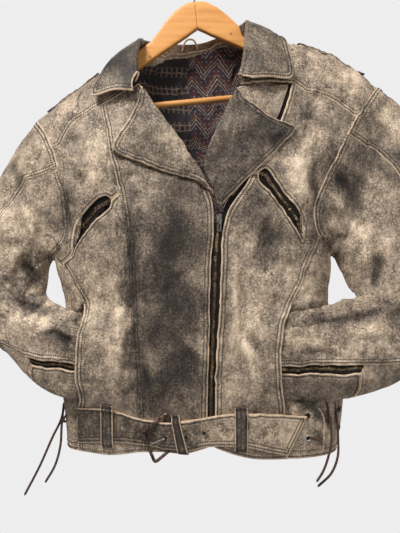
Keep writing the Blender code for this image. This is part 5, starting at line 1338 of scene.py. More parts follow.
class Sleeve:
    """A tube from an armhole ring (section 0) through the table's sections (1 onwards).

    Each section is a superellipse between its outer and inner ends; up to section 1 it is mixed
    with the armhole ring.
    """

    def __init__(self, rows, ring, body_normal):
        """rows is the table, ring the armhole's points, body_normal the body's normals there."""
        table = np.array(rows, float)
        section = np.arange(1, len(rows) + 1) / MM
        self.column = [smooth_table(np.c_[section, table[:, index]]) for index in range(table.shape[1])]
        self.ring = np.vstack([ring, ring[:1]])
        self.last = len(rows)
        angle = np.repeat(ring_angle[:, None], 2, axis=1)
        self.mitre = unit(self.normal(angle, np.zeros_like(angle))[:, 0] + body_normal)

    def seam(self, column, start):
        """A seam's angle at each section, from its ring angle to the table's column."""
        def angle(section):
            """ring angle + t * (table's angle - ring angle)."""
            t = np.clip(section, 0, 1)
            return (1 - t) * start + t * self.column[column](np.clip(section, 1, None)) / MM
        return angle

    def point(self, angle, section):
        """The tube at an angle and a section: middle + half width * cos^p + half thickness * sin^p."""
        value = [column(np.clip(section, 1, None)) for column in self.column]
        outer = gathered(value[0], value[4], value[1])
        inner = gathered(value[2], value[4], value[3])
        turn = np.radians(angle)
        power = 2 / (value[6] / MM)
        across = squared_off(np.cos(turn), power)
        forward = value[5] * squared_off(np.sin(turn), power)
        tube_point = (outer + inner) / 2 + (outer - inner) / 2 * across[..., None]
        tube_point[..., 1] -= forward
        at = np.mod(angle, 360)
        ring_point = read_line(at, np.r_[ring_angle, 360], self.ring)
        t = np.clip(section, 0, 1)[..., None]
        return (1 - t) * ring_point + t * tube_point

    def normal(self, angle, section):
        """Unit normals out of the tube, from small steps round it and along it."""
        along = (self.point(angle, np.minimum(section + NORMAL_SECTION_STEP, self.last))
                 - self.point(angle, np.maximum(section - NORMAL_SECTION_STEP, 0)))
        around = (self.point(angle + NORMAL_DEGREE_STEP, section)
                  - self.point(angle - NORMAL_DEGREE_STEP, section))
        normal = unit(np.cross(around, along))
        inside = (self.point(angle, section) + self.point(angle + 180, section)) / 2
        return turned_to(normal, self.point(angle, section) - inside)

    def depth(self, section):
        """The middle and half depth of the tube at each section, from the body's at the ring."""
        t = np.clip(section, 0, 1)
        middle, half = (self.column[index](np.clip(section, 1, None)) for index in (4, 5))
        return (1 - t) * DEPTH_CENTRE + t * middle, (1 - t) * FULL_FRONT + t * half

    def panel(self, node, first, last, columns, sections, ring_part=None, finish=leather, drop=0.0,
              **kind):
        """The piece between two seams; ring_part lists the ring points its first row shares."""
        share = ((columns - columns[0]) / (columns[-1] - columns[0]))[:, None]
        sections = np.broadcast_to(sections, (len(columns), np.shape(sections)[-1]))
        angle = first(sections) + share * (last(sections) - first(sections))
        normal = self.normal(angle, sections)
        if ring_part is not None:
            near = np.clip(1 - 2 * sections, 0, 1)[..., None]
            normal = unit(near * self.mitre[ring_part][:, None] + (1 - near) * normal)
        points = self.point(angle, sections) - drop * normal
        return cloth(node, points, -normal, finish, depth=self.depth(sections), **kind)


def make_sleeve(side, rows, ring, body_normal, zip_start):
    """Top sleeve, under sleeve, cuff panel and the strip of zip tape between panel and top sleeve."""
    made = Sleeve(rows, ring, body_normal)
    front_at, back_at = FRONT_SEAM_AT * FINENESS, BACK_SEAM_AT * FINENESS
    front_seam = made.seam(7, ring_angle[front_at])
    back_seam = made.seam(8, ring_angle[back_at] - 360)

    def zip_edge(section):
        """The back seam's angle, less the zip's width from where the zip starts."""
        return back_seam(section) + 360 - ZIP_DEGREES * ramp(section, zip_start - ZIP_OPENS, zip_start)

    top_part = np.r_[np.arange(back_at, len(ring)), np.arange(front_at + 1)]
    top_columns = np.r_[ring_angle[back_at:] - 360, ring_angle[:front_at + 1]]
    under_part = np.arange(front_at, back_at + 1)
    under_columns = ring_angle[front_at:back_at + 1]
    sections = np.r_[0, 0.5, np.linspace(1, made.last, SLEEVE_ROWS - 2)]
    made.panel(f"sleeve_{side}_top", back_seam, front_seam, top_columns, fine(sections), top_part,
               also=[f"forearm_{side}_top"], worn=("left", FRONT_PIPED, "low", "high"),
               rows=[("left", 4.0), ("left", 8.6), (FRONT_PIPED, 4.0), (FRONT_PIPED, 8.6),
                     ("low", 4.0), ("low", 9.0), ("high", 4.0)])

    round_panel = np.linspace(0, 1, len(under_columns))[:, None]
    cuff_seam = zip_start + CUFF_SEAM_DROP * (1 - ramp(round_panel, *CUFF_SEAM_RISE))
    above = np.tile(sections[sections < zip_start - 0.3], (len(under_columns), 1))
    made.panel(f"sleeve_{side}_under", front_seam, zip_edge, under_columns,
               fine(np.hstack([above, cuff_seam]).T).T, under_part,
               also=[f"forearm_{side}_under"],
               worn=(("high", *CUFF_PIPED), *ARMHOLE_PIPED[side]),
               rows=[("low", 4.0), ("low", 9.0)])
    made.panel(f"cuff_panel_{side}", front_seam, zip_edge, under_columns,
               cuff_seam + fine(np.linspace(0, 1, 5)) * (made.last - cuff_seam),
               worn=("right", "high", ("low", *CUFF_PIPED)),
               rows=[(("low", *CUFF_PIPED), 4.0), ("right", 4.0)], shade=CUFF_SHADE[side])
    tape = made.panel(f"cuff_zip_{side}",
                      lambda section: back_seam(section) - ZIP_DEGREES - ZIP_LAP_DEGREES,
                      lambda section: back_seam(section) + ZIP_LAP_DEGREES, fine(np.linspace(0, 1, 4)),
                      fine(np.linspace(zip_start - ZIP_STARTS, made.last - ZIP_STOPS, 6)), None,
                      zip_tape, TAPE_DROP, thickness=TAPE, worn=())
    chain_line = tape[len(tape) // 2]
    facing_out = grid_normals(tape)[len(tape) // 2]
    from_middle = chain_line - tape.mean(axis=(0, 1)) - facing_out
    zip_teeth(f"cuff_teeth_{side}", chain_line, turned_to(facing_out, from_middle), antique_brass)
    return made.mitre


# Parts of a seam that show their edge, as shares of its length.
FRONT_PIPED = ("right", 0.0, 0.5)
CUFF_PIPED = (0.7, 1.0)
ARMHOLE_PIPED = {"left": (), "right": (("low", 0.0, 0.4),)}
CUFF_SHADE = {"left": -0.3, "right": -0.9}
ring_left, ring_left_normal = armhole_ring(armhole_left_top, armhole_left, under_left,
                                           armhole_back_left)
ring_right, ring_right_normal = armhole_ring(armhole_right_top, armhole_right, under_right,
                                             armhole_back_right)
mitre_left = make_sleeve("left", SLEEVE_LEFT, ring_left, ring_left_normal, CUFF_ZIP_LEFT)
mitre_right = make_sleeve("right", SLEEVE_RIGHT, ring_right, ring_right_normal, CUFF_ZIP_RIGHT)

# ---- the body's panels -------------------------------------------------------------------------
K = FINENESS
TOP_RING = slice(0, 3 * K + 1)             # ring points along the yoke
FRONT_RING = slice(3 * K, 9 * K + 1)       # along the chest
SIDE_RING = slice(9 * K, 13 * K + 1)       # across the side panel
BACK_RING = slice(13 * K, 19 * K + 1)      # up the back panel
BACK_ARMHOLE_ROWS = slice(5 * K, 11 * K + 1)     # the back's rows along the armhole


def ring_part(ring, part):
    """An armhole ring's points or vectors along one edge; the ring closes on its first."""
    return np.vstack([ring, ring[:1]])[part]


def panel(node, place, pattern, finish=leather, proud=0.0, edges=(), **kind):
    """A cut panel on the form. proud lifts it off the form; edges mixes in a sleeve's vectors."""
    normal = normals(place, pattern)
    inward = -normal
    fade = np.linspace(1, 0, K + 1)[:, None, None]
    for side, part, shared in edges:
        turned = from_side(inward, side)
        turned[:K + 1, part] = unit(-fade * shared + (1 - fade) * turned[:K + 1, part])
    return cloth(node, place(pattern) + proud * normal, inward, finish, **kind)


def shape_yoke(side, seam, ridge, armhole, neck, mitre):
    """A front yoke from its seam up to the ridge; its columns run from left to right."""
    bottom, top = to_climb(seam, FRONT_RISE), to_climb(ridge, FRONT_RISE)
    at_armhole, at_neck = to_climb(armhole[::-1], FRONT_RISE), to_climb(neck, FRONT_RISE)
    on_left = side == "left"
    pattern = patch(bottom, top, *((at_armhole, at_neck) if on_left else (at_neck, at_armhole)))
    panel(f"yoke_{side}", on_yoke, pattern,
          edges=[("left" if on_left else "right", slice(None), ring_part(mitre, TOP_RING)[::-1])],
          worn=("low",), rows=[("low", 3.6), ("low", 8.6)])


shape_yoke("left", join(yoke_left, yoke_left_hidden), ridge_left, armhole_left_top, neck_left,
           mitre_left)
shape_yoke("right", join(yoke_right_hidden, yoke_right), ridge_right, armhole_right_top, neck_right,
           mitre_right)

pocket_left_arc = curve(POCKET_LEFT_ARC, 5)
pocket_left_edge = curve(POCKET_LEFT_EDGE, 5)
pocket_right_arc = curve(POCKET_RIGHT_ARC, 6)
pocket_right_edge = curve(POCKET_RIGHT_EDGE, 6)
chest_row, zip_row = PRINCESS_HEIGHTS.index(-390) * K, ZIP_RIGHT_HEIGHTS.index(-360) * K
chest_corner, zip_corner = princess[chest_row][None], zip_right[zip_row][None]
side_corner = armhole_right[-1:]
notch = front_edge_left[:K + 1]
POCKET_LIP = ("low", 0.0, 0.84)            # the right chest's edge as far as the pocket's tip

panel("chest_left", on_front,
      patch(chain(notch, pocket_left_arc, chest_corner), yoke_left, armhole_left[::-1],
            princess[chest_row::-1]),
      edges=[("left", slice(None), ring_part(mitre_left, FRONT_RING)[::-1])],
      worn=("low",), rows=[("low", 4.0)])
panel("side_front_left", on_front,
      patch(curve(HEM_LEFT_SIDE, 7), chain(notch[K:], pocket_left_edge, chest_corner),
            front_edge_left[:K - 1:-1], princess[:chest_row - 1:-1]),
      worn=("high", "left", "low"), rows=[("high", 4.0), ("left", 4.0), ("left", 9.0), ("low", 6.0)])
panel("center_front_left", on_front,
      patch(curve(HEM_LEFT_FRONT, 3), yoke_left_hidden, princess[::-1], zip_left[::-1]),
      worn=(("left", 0.74, 1.0), "right", "low"),
      rows=[("left", 3.6), ("left", 8.6), ("right", 3.6), ("right", 9.0), ("low", 6.0)], shade=-0.25)
panel("chest_right", on_front,
      patch(chain(zip_corner, pocket_right_arc, side_corner), yoke_right, zip_right[zip_row::-1],
            armhole_right[::-1]),
      edges=[("right", slice(None), ring_part(mitre_right, FRONT_RING)[::-1])],
      worn=(POCKET_LIP, "left"), rows=[(POCKET_LIP, 4.0), ("left", 4.0)])
panel("front_right", on_front,
      patch(curve(HEM_RIGHT, 8), chain(zip_corner, pocket_right_edge, side_corner),
            zip_right[:zip_row - 1:-1], front_edge_right[::-1]),
      worn=(("high", *POCKET_LIP[1:]), "left", "right", "low"),
      rows=[("high", 4.0), ("left", 3.6), ("left", 9.0), ("right", 4.0), ("right", 9.0), ("low", 4.5)])

# ---- side and back panels ----------------------------------------------------------------------
BACK_SEAM_ANGLE = 0.42           # of the side seam's lower part behind the silhouette, radians
SIDE_LAP = 6 * MM
SIDE_STEPS = [0, 0, 0.06, 0.25, 0.5, 0.75, 1.0]      # shares of the way back; the first cell is tucked
POCKET_LAP_OVER = (0.02, 0.25)   # the pocket's fullness over which the lap grows to its depth


def spread(steps, points):
    """Points read at shares of the way along evenly spaced ones."""
    return read_line(steps, np.linspace(0, 1, len(points)), points)


def back_seam(side, heights, corner_angle):
    """The seam between side and back, from the hem up to the armhole's corner, as (angle, z)."""
    z = fine(heights) * MM
    low = -BACK_SEAM_ANGLE if side == "right" else np.pi + BACK_SEAM_ANGLE
    return gathered(low + (corner_angle - low) * ramp(z, heights[-2] * MM, z[-1]), z)


def shape_side_panel(side, edge, seam, ring, mitre):
    """The side panel. Its front edge is tucked under the front's, and at the pocket it runs on behind
    that as the pocket's back."""
    sign = 1 if side == "right" else -1
    x, heights = edge[:, 0], edge[:, 1]
    across, along = np.arange(6 * K + 1)[:, None] / K, np.arange(len(heights)) / K
    filled = ramp(pocket_fullness(heights), *POCKET_LAP_OVER)
    lap = (SIDE_LAP + (POCKET_DEPTH - SIDE_LAP) * filled) * np.clip(along - 1, 0, 1)
    start = side_angle(x, heights)
    down = (heights - heights[0]) / (heights[-1] - heights[0])
    back_z = seam[-1, 1] + down * (seam[0, 1] - seam[-1, 1])
    back = np.interp(back_z, seam[:, 1], seam[:, 0])
    opened = np.clip(1 - np.abs(across - 1), 0, 1) * np.clip(2 - along, 0, 1)
    share = fine(SIDE_STEPS)[:, None] + SIDE_STEPS[2] / 2 * opened
    tucked = side_angle(x - sign * lap, heights) - start
    angle = start + share * (back - start) + np.clip(1 - across, 0, 1) * tucked
    pattern = gathered(angle, heights + share * (back_z - heights))
    normal = normals(on_side, pattern)
    tuck = (LEATHER + 2 * CLEAR) * np.clip(2 - across, 0, 1) * np.clip(along, 0, 1)
    outer = on_side(pattern) - tuck[..., None] * normal
    near = np.clip(1 - along, 0, 1)[None, :, None]
    outer = outer + near * (spread(share[:, 0], ring) - outer[:, 0])[:, None]
    normal = unit(near * spread(share[:, 0], mitre)[:, None] + (1 - near) * normal)
    outer[-1] += 4 * SEAM_EASE * unit(outer[-2] - outer[-1])
    cloth(f"side_panel_{side}", outer, -normal, leather, worn=("right", "high"), shade=0.5,
          rows=[("right", 4.0), ("high", 4.5), ("high", 12.0)])


back_seam_left = back_seam("left", BACK_SEAM_LEFT_HEIGHTS, under_left[-1, 0])
back_seam_right = back_seam("right", BACK_SEAM_RIGHT_HEIGHTS, under_right[-1, 0])
shape_side_panel("left", front_edge_left, back_seam_left, ring_part(ring_left, SIDE_RING),
                 ring_part(mitre_left, SIDE_RING))
shape_side_panel("right", front_edge_right, back_seam_right, ring_part(ring_right, SIDE_RING),
                 ring_part(mitre_right, SIDE_RING))

back_left_edge = np.vstack([on_side(back_seam_left)[:-1, [0, 2]], armhole_back_left])
back_right_edge = np.vstack([on_side(back_seam_right)[:-1, [0, 2]], armhole_back_right])
back_top = np.vstack([ridge_left[:-1], neck_back[:-1], ridge_right])
back_hem = np.linspace(back_left_edge[0], back_right_edge[0], len(back_top))
back_pattern = patch(*[to_climb(line, BACK_RISE)
                       for line in (back_hem, back_top, back_left_edge, back_right_edge)])
panel("back_panel", on_back, back_pattern,
      edges=[("left", BACK_ARMHOLE_ROWS, ring_part(mitre_left, BACK_RING)),
             ("right", BACK_ARMHOLE_ROWS, ring_part(mitre_right, BACK_RING))],
      worn=("left", "right", "low", "high"),
      rows=[("left", 4.0), ("left", 9.0), ("right", 4.0), ("right", 9.0), ("low", 6.0)])

# ---- the lining where it shows in the neck -----------------------------------------------------
LINING_DROP = LEATHER + 0.6 * MM
TOP_TUCK = 2.5 * CLEAR           # how much deeper its top edge lies
# How far its top edge stops short, as a share of the back panel's top row of cells, by column.
LINING_FROM_NECK = (0, 2, 4, 8, 10, 12), (0.9, 0.8, 0.2, 0.2, 0.8, 0.9)
first_column = (RIDGE_PIECES - 2) * K
lining_part = back_pattern[first_column:-first_column, 5 * K:]
from_neck = np.interp(np.arange(len(lining_part)) / K, *LINING_FROM_NECK)[:, None, None]
lining_normal = normals(on_back, lining_part)
lining_outer = on_back(lining_part) - LINING_DROP * lining_normal
in_last = np.linspace(0, 1, K + 1)[None, :, None]
lining_top = lining_outer[:, -1:] + from_neck * (lining_outer[:, -K - 1:-K] - lining_outer[:, -1:])
lining_outer[:, -K - 1:] = (1 - in_last) * lining_outer[:, -K - 1:-K] + in_last * lining_top
lining_outer[:, -K - 1:] -= TOP_TUCK * in_last * lining_normal[:, -K - 1:]
cloth("lining_back", lining_outer, -lining_normal, printed_lining, thickness=LINING, worn=())


# ---- zips --------------------------------------------------------------------------------------
ZIP_TAPE_LAP = 4 * MM
POCKET_TAPE_LAP = 3 * MM
UNDERLAP_INSET = 6 * MM
OPEN_TAPE_SHOWS = 9 * MM         # of the right tape beside the leather, above the slider
OPEN_TEETH_INSET = 0.6 * MM


def aside(line, distance):
    """The line moved to its left by a distance, in the pattern's plane."""
    along = unit(np.gradient(line, axis=0))
    return line + distance * gathered(-along[:, 1], along[:, 0])


def strip(first, last, pieces=1):
    """The pattern between two lines of equal length, first on the left."""
    t = np.linspace(0, 1, pieces * K + 1)[:, None, None]
    return (1 - t) * first[None] + t * last[None]


def tape(node, pattern, drop):
    """Zip tape behind the leather; its outer points, and unit vectors towards the front."""
    outer = panel(node, on_front, pattern, zip_tape, -drop, thickness=TAPE, worn=())
    return outer, turned_to(grid_normals(outer), TO_FRONT)


closed_heights = [-436, -480, -525] + POCKET_ROWS + [-776]
left_of_zip = at_heights(ZIP_EDGE_LEFT, closed_heights)
right_of_zip = at_heights(ZIP_EDGE_RIGHT, closed_heights)
middle_of_zip = (left_of_zip + right_of_zip) / 2
open_right = zip_right[:ZIP_RIGHT_HEIGHTS.index(-410) * K + 1]
right_free = chain(aside(open_right, -OPEN_TAPE_SHOWS), middle_of_zip + [CLEAR, 0])
right_sewn = chain(aside(open_right, ZIP_TAPE_LAP), right_of_zip + [ZIP_TAPE_LAP, 0])
left_strip = strip(left_of_zip - [ZIP_TAPE_LAP, 0], middle_of_zip - [CLEAR, 0])
tape_left, out_left = tape("zip_tape_left", left_strip, TAPE_DROP)
tape_right, out_right = tape("zip_tape_right", strip(right_free, right_sewn), TAPE_DROP)
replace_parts(zip_teeth("zip_teeth_closed", tape_left[-1], out_left[-1], antique_brass), "zip_chain")
zip_teeth("zip_teeth_open", tape_right[0, :len(open_right)], out_right[0, :len(open_right)],
          antique_brass, sides=(1,), offset=-OPEN_TEETH_INSET)

ROLL_RIGHT = [(70, -226), (60, -239), (40, -280), (28, -305), (19, -328), (16, -350), (25, -367),
              (34, -383), (41, -397)]
UNDERLAP_EDGE = [(150, -225), (131, -277), (108, -320), (85, -360), (78, -376), (62, -399)]
roll_right = curve(ROLL_RIGHT, 9)
underlap_edge = aside(curve(UNDERLAP_EDGE, 9), -UNDERLAP_INSET)
panel("underlap_right", on_front, strip(roll_right, underlap_edge, 4), worn=())


def pocket_zip(side, arc, edge, drop):
    """The tape behind a pocket's crescent mouth, with its teeth along the middle."""
    above, below = aside(arc, POCKET_TAPE_LAP), aside(edge, -POCKET_TAPE_LAP)
    outer, facing_out = tape(f"chest_zip_{side}", np.swapaxes(strip(below, above, 2), 0, 1), drop)
    middle = outer.shape[1] // 2
    zip_teeth(f"chest_teeth_{side}", outer[:, middle], facing_out[:, middle], antique_brass)


pocket_zip("left", pocket_left_arc, pocket_left_edge, TAPE_DROP + 3 * CLEAR)
pocket_zip("right", pocket_right_arc, pocket_right_edge, TAPE_DROP)


# ---- lapels and collar -------------------------------------------------------------------------
def smooth_rows(rows):
    """A table in millimetres with FINENESS smooth steps from each row to the next, in metres."""
    rows = np.array(rows, float)
    at = np.linspace(0, len(rows) - 1, (len(rows) - 1) * K + 1)
    return np.stack([smooth_table(np.c_[np.arange(len(rows)) / MM, rows[:, column]])(at)
                     for column in range(rows.shape[1])], axis=-1)


ROLL_RADIUS = 3.4 * MM
LAPEL_EDGE_HEIGHT = 3.2 * MM
#     roll line    free edge
LAPEL_LEFT = [
    (-80, -229, -84, -240),
    (-68, -244, -88, -257),
    (-55, -262, -100, -281),
    (-43, -280, -114, -300),
    (-31, -298, -124, -321),
    (-19, -316, -113, -333),
    (-8, -333, -82, -345),
    (4, -350, -50, -358),
    (14, -366, -18, -368),
    (22, -380, 4, -375),
    (30, -393, 20, -387)]
LAPEL_RIGHT = [
    (66, -230, 73, -241),
    (60, -239, 78, -248),
    (51, -257, 98, -263),
    (41, -278, 124, -278),
    (33, -295, 151, -288),
    (28, -307, 152, -297),
    (22, -322, 134, -316),
    (17, -338, 112, -338),
    (13, -350, 92, -357),
    (20, -369, 74, -374),
    (28, -388, 58, -391),
    (34, -405, 41, -409)]


def lapel(side, rows, shade):
    """The folded-back front edge: a half round at the roll line, then flat to the free edge. It gives
    back the free edge, and the unit vectors towards it from the roll line."""
    table = smooth_rows(rows)
    roll, free = table[:, :2], table[:, 2:]
    width = np.linalg.norm(free - roll, axis=1)
    way = (free - roll) / width[:, None]
    turn = np.linspace(-np.pi / 2, np.pi / 2, 2 * K)[:, None]
    t = np.linspace(0, 1, 4 * K + 1)[1:, None]
    top = CLEAR + 2 * ROLL_RADIUS
    distance = np.vstack([ROLL_RADIUS * (1 - np.cos(turn)) + 0 * width,
                          ROLL_RADIUS + t * (width - ROLL_RADIUS)])
    height = np.vstack([CLEAR + ROLL_RADIUS * (1 + np.sin(turn)) + 0 * width,
                        top + (LAPEL_EDGE_HEIGHT - top) * t + 0 * width])
    pattern = roll + distance[..., None] * way
    form_normal = normals(on_front, pattern)
    outer = on_front(pattern) + height[..., None] * form_normal
    middle = -1, len(table) // 2
    normal = grid_normals(outer, middle, form_normal[middle])
    cloth(f"lapel_{side}", outer, -normal, leather, worn=("right", "low", "high"),
          rows=[("right", 3.8), ("right", 8.8)], shade=shade)
    return free, way


lapel_free, lapel_way = lapel("left", LAPEL_LEFT, -0.5)
lapel("right", LAPEL_RIGHT, -1.7)

# The zip's open half shows as a dark cord with teeth along the left lapel's free edge, below its tip.
OPEN_ZIP_FROM = 4 * K + 3        # the step of the table just past the tip
OPEN_ZIP_BEYOND = 2.0 * MM
OPEN_ZIP_HEIGHT = 1.6 * MM
OPEN_ZIP_CORD = 3.0 * MM
OPEN_TEETH_WIDTH = 1.6 * MM
OPEN_TEETH_HEIGHT = 0.35 * OPEN_ZIP_CORD
open_zip = (lapel_free + OPEN_ZIP_BEYOND * lapel_way)[OPEN_ZIP_FROM:]
open_zip_normal = normals(on_front, open_zip)
open_zip_line = on_front(open_zip) + OPEN_ZIP_HEIGHT * open_zip_normal
rope("open_zip_cord", open_zip_line, OPEN_ZIP_CORD, zip_tape)
zip_teeth("open_zip_teeth", open_zip_line + OPEN_TEETH_HEIGHT * open_zip_normal, open_zip_normal,
          antique_brass, sides=(1,), width=OPEN_TEETH_WIDTH, offset=0.0)

FOLD_RADIUS = 3.6 * MM
LEAF_HEIGHT = 5.0 * MM
LEAF_FULLNESS = 5 * MM
LEAF_SHORT = 50 * MM             # a narrower leaf than this is less full
CORE_DEPTH = 60 * MM
PUSH, PUSHES = 0.1 * MM, 200
STAND_ROWS = 3
#    neck seam            fold                 leaf edge
#    x    y    z          x    y    z          x     y    z
COLLAR = [
    (-89, -71, -220.0, -86.0, -79, -208, -91, -86, -238),
    (-91, -64, -200.0, -89.8, -69, -193, -122, -82, -235),
    (-95, -50, -178.0, -90.6, -55, -173, -158, -70, -239),
    (-96.4, -34.8, -157.0, -89.5, -36, -152, -147, -46, -194),
    (-99, -8, -135.5, -87.0, -12, -131, -138, -22, -170),
    (-90, 13, -137.5, -79.0, 10, -121, -128, 6, -158),
    (-62, 27, -138.0, -58.0, 28, -118, -98, 42, -172),
    (0, 35, -129.5, 0.0, 37, -115, 0, 54, -172),
    (40, 33, -120.0, 36.0, 35, -106, 60, 50, -166),
    (72, 21, -114.0, 63.0, 21, -98, 100, 36, -148),
    (90, 8, -114.5, 80.0, 9, -92, 126, 10, -124),
    (94.5, -11, -118.0, 85.0, -12, -97, 142, -14, -128),
    (90, -35, -141.0, 80.5, -39, -127, 150, -44, -162),
    (85.5, -55, -165.0, 76.6, -64, -165, 150, -73, -212),
    (80, -64, -195.0, 72.4, -76, -194, 112, -84, -216),
    (73, -71, -218.0, 67.5, -83, -212, 86, -86, -218)]


def outside_form(points, height):
    """Points moved out from a line under the shoulder ridge to stand this far off the jacket."""
    x = points[..., 0]
    core = gathered(x, 0, ridge_height(x) - CORE_DEPTH)
    pushed = points.copy()
    for _ in range(PUSHES):
        low = pushed[..., 2] - height * ramp(pushed[..., 2], core[..., 2], core[..., 2] + CORE_DEPTH)
        front = front_y(x, low) * (1 + height / front_depth(low))
        back = back_y(x, low) * (1 + height / back_depth(low))
        inside = (pushed[..., 1] > front) & (pushed[..., 1] < back) & (low < ridge_height(x))
        pushed = pushed + np.where(inside[..., None], PUSH * unit(pushed - core), 0)
    return pushed


collar_rows = smooth_rows(COLLAR)
neck, fold_line, leaf = collar_rows[:, 0:3], collar_rows[:, 3:6], collar_rows[:, 6:9]
rise = unit(fold_line - neck)
outward = unit(turned_to(np.cross(rise, unit(np.gradient(fold_line, axis=0))), leaf - fold_line))
fold_centre = fold_line - FOLD_RADIUS * rise
round_fold = [fold_centre + FOLD_RADIUS * (np.cos(angle) * outward + np.sin(angle) * rise)
              for angle in np.linspace(np.pi, 0, 2 * K)]
stand_part = [neck + t * (round_fold[0] - neck) for t in np.linspace(0, 1, STAND_ROWS + 1)[:-1]]
short = np.minimum(1, np.linalg.norm(leaf - fold_line, axis=1) / LEAF_SHORT)[:, None]
flat_part = [outside_form(round_fold[-1] + t * (leaf - round_fold[-1])
                          + LEAF_FULLNESS * np.sin(np.pi * t) * short * outward, LEAF_HEIGHT)
             for t in np.linspace(0, 1, 4 * K + 1)[1:]]
collar_outer = np.array(stand_part + round_fold + flat_part)
middle_station = len(neck) // 2
collar_normal = grid_normals(collar_outer, (STAND_ROWS + K, middle_station),
                             (rise + outward)[middle_station])
cloth("collar", collar_outer, -collar_normal, leather, thickness=DOUBLE_LEATHER,
      worn=("right", "low", "high"), rows=[("right", 3.8), ("right", 9.4)], shade=-1.1, moving=False)

HANG_LOOP = [(-23, 30, -131), (-20, 29, -120), (-13, 28, -111), (-4, 28, -111), (2, 29, -119),
             (4, 30, -127)]
rope("hang_loop_cord", curve(HANG_LOOP, 4), 3 * MM, leather, node="hang_loop")

# ---- epaulettes --------------------------------------------------------------------------------
EPAULETTE_HALF = 15 * MM
EPAULETTE_END = 8 * MM           # over which its dark ends fade
EPAULETTE_END_SHADE = -4.0
EPAULETTE_LIFT = CLEAR + DOUBLE_LEATHER + 0.4 * MM


def epaulette(side, start, end):
    """A strap along the ridge, following the shoulder down each side."""
    x = np.linspace(start, end, 6 * K + 1)[:, None] * MM
    y = np.linspace(-EPAULETTE_HALF, EPAULETTE_HALF, 4 * K + 1)[None]
    lean = np.abs(y) / np.where(y < 0, -front_flat(x, ridge_height(x)), back_flat(x, ridge_height(x)))
    start_height = np.where(y < 0, FRONT_RISE, BACK_RISE)
    share = (1 - lean**RIDGE_SQUARENESS) ** (1 / RIDGE_SQUARENESS)
    z = start_height + (ridge_height(x) - start_height) * share
    outer = gathered(x, y, z)
    normal = turned_to(grid_normals(outer), UP)
    near_end = np.exp(-(x - x[0]) / EPAULETTE_END) + np.exp(-(x[-1] - x) / EPAULETTE_END)
    cloth(f"epaulette_{side}", outer + EPAULETTE_LIFT * normal, -normal, leather,
          thickness=DOUBLE_LEATHER, worn=(), rows=[("left", 3.5), ("right", 3.5)],
          shade=EPAULETTE_END_SHADE * near_end + 0 * y)


epaulette("left", -240, -158)
epaulette("right", 168, 276)

# ---- belt --------------------------------------------------------------------------------------
BELT_TOP = [(-184, -719), (-144, -717), (-123, -719), (-106, -725), (-90, -730), (-47, -735), (5, -730),
            (40, -724), (82, -721), (112, -724), (148, -728), (180, -732)]
BELT_BOTTOM = [(-184, -777), (-145, -772), (-99, -770), (-72, -773), (-34, -776), (-13, -778),
               (22, -773), (61, -773), (82, -775), (113, -783), (143, -791), (180, -795)]
belt_top, belt_bottom = smooth_table(BELT_TOP), smooth_table(BELT_BOTTOM)
BELT_LOW = 0.6 * MM + DOUBLE_LEATHER
#              from x  to x   rise
BELT_STEPS = [(-62, -46, 5.8), (-8, 8, -3.0), (112, 130, -2.8)]


def belt_height(x):
    """The strap's outer face above the form: over the buckle's bar, over the chape, then flat."""
    return BELT_LOW + sum(rise * ramp(x, start, end) for start, end, rise in np.array(BELT_STEPS) * MM)


def belt_pattern(top_x, bottom_x, inset=0.0, rows=3):
    """The pattern between the belt's two edges, from stations along each of them."""
    top_x, bottom_x = fine(top_x) * MM, fine(bottom_x) * MM
    top = gathered(top_x, belt_top(top_x) - inset)
    bottom = gathered(bottom_x, belt_bottom(bottom_x) + inset)
    return np.swapaxes(strip(bottom, top, rows), 0, 1)


stations = [-181, -160, -140, -120, -100, -82, -66, -50, -42, -26, -8, 8, 25, 45]
top_stations = stations + [65, 85, 110, 130, 150, 172]
bottom_stations = stations + [62, 80, 100, 120, 131, 143]
STRAP_SHADE, STRAP_PALER = 0.2, 2.4            # its tone by the buckle, and the rise to its tip
STRAP_PALES = (-60 * MM, 80 * MM)
strap = belt_pattern(top_stations, bottom_stations)
panel("belt_strap", on_front, strap, dark_leather, belt_height(strap[..., :1]),
      thickness=DOUBLE_LEATHER, worn=("right", "low", "high"),
      rows=[("low", 3.5), ("low", 8.8), ("high", 3.5), ("right", 3.5), ("right", 8.8)],
      shade=STRAP_SHADE + STRAP_PALER * ramp(strap[..., 0], *STRAP_PALES))
chape = belt_pattern([-35, -26, -8, 8, 25, 45, 60], [-29, -20, -5, 8, 25, 45, 58], 1 * MM)
panel("belt_chape", on_front, chape, dark_leather, CLEAR + DOUBLE_LEATHER, thickness=DOUBLE_LEATHER)

BAR = 5.0 * MM
PRONG = 1.9 * MM
#              x     z     height of the bar's centre
BUCKLE = [(-77, -750, 7.6), (-75.5, -747.5, 7.6), (-60, -736, 7.6), (-48, -726.5, 5.4),
          (-43.5, -723, 4.2), (-41, -723, 4.2), (-40, -728, 4.0), (-37, -745, 4.0), (-34, -768, 4.0),
          (-34.5, -774, 4.0), (-38, -779, 4.6), (-55, -793, 7.6), (-58.5, -794.5, 7.6),
          (-60.5, -792.5, 7.6), (-76.5, -753, 7.6)]
PRONG_LINE = [(-43, -757.5, 10.8), (-55, -762.5, 11.2), (-70, -769, 11.0)]


def above_form(rows):
    """Points over the front from rows of x, height and distance off it, all in millimetres."""
    rows = np.array(rows, float) * MM
    pattern = rows[:, :2]
    return on_front(pattern) + rows[:, 2:] * normals(on_front, pattern)


buckle_path = fine(above_form(BUCKLE + BUCKLE[:1]))[:-1]
rope("buckle_bar", buckle_path, BAR, bronze_buckle, closed=True, node="buckle_frame")
rope("buckle_tongue", fine(above_form(PRONG_LINE)), PRONG, dull_steel, node="buckle_prong")

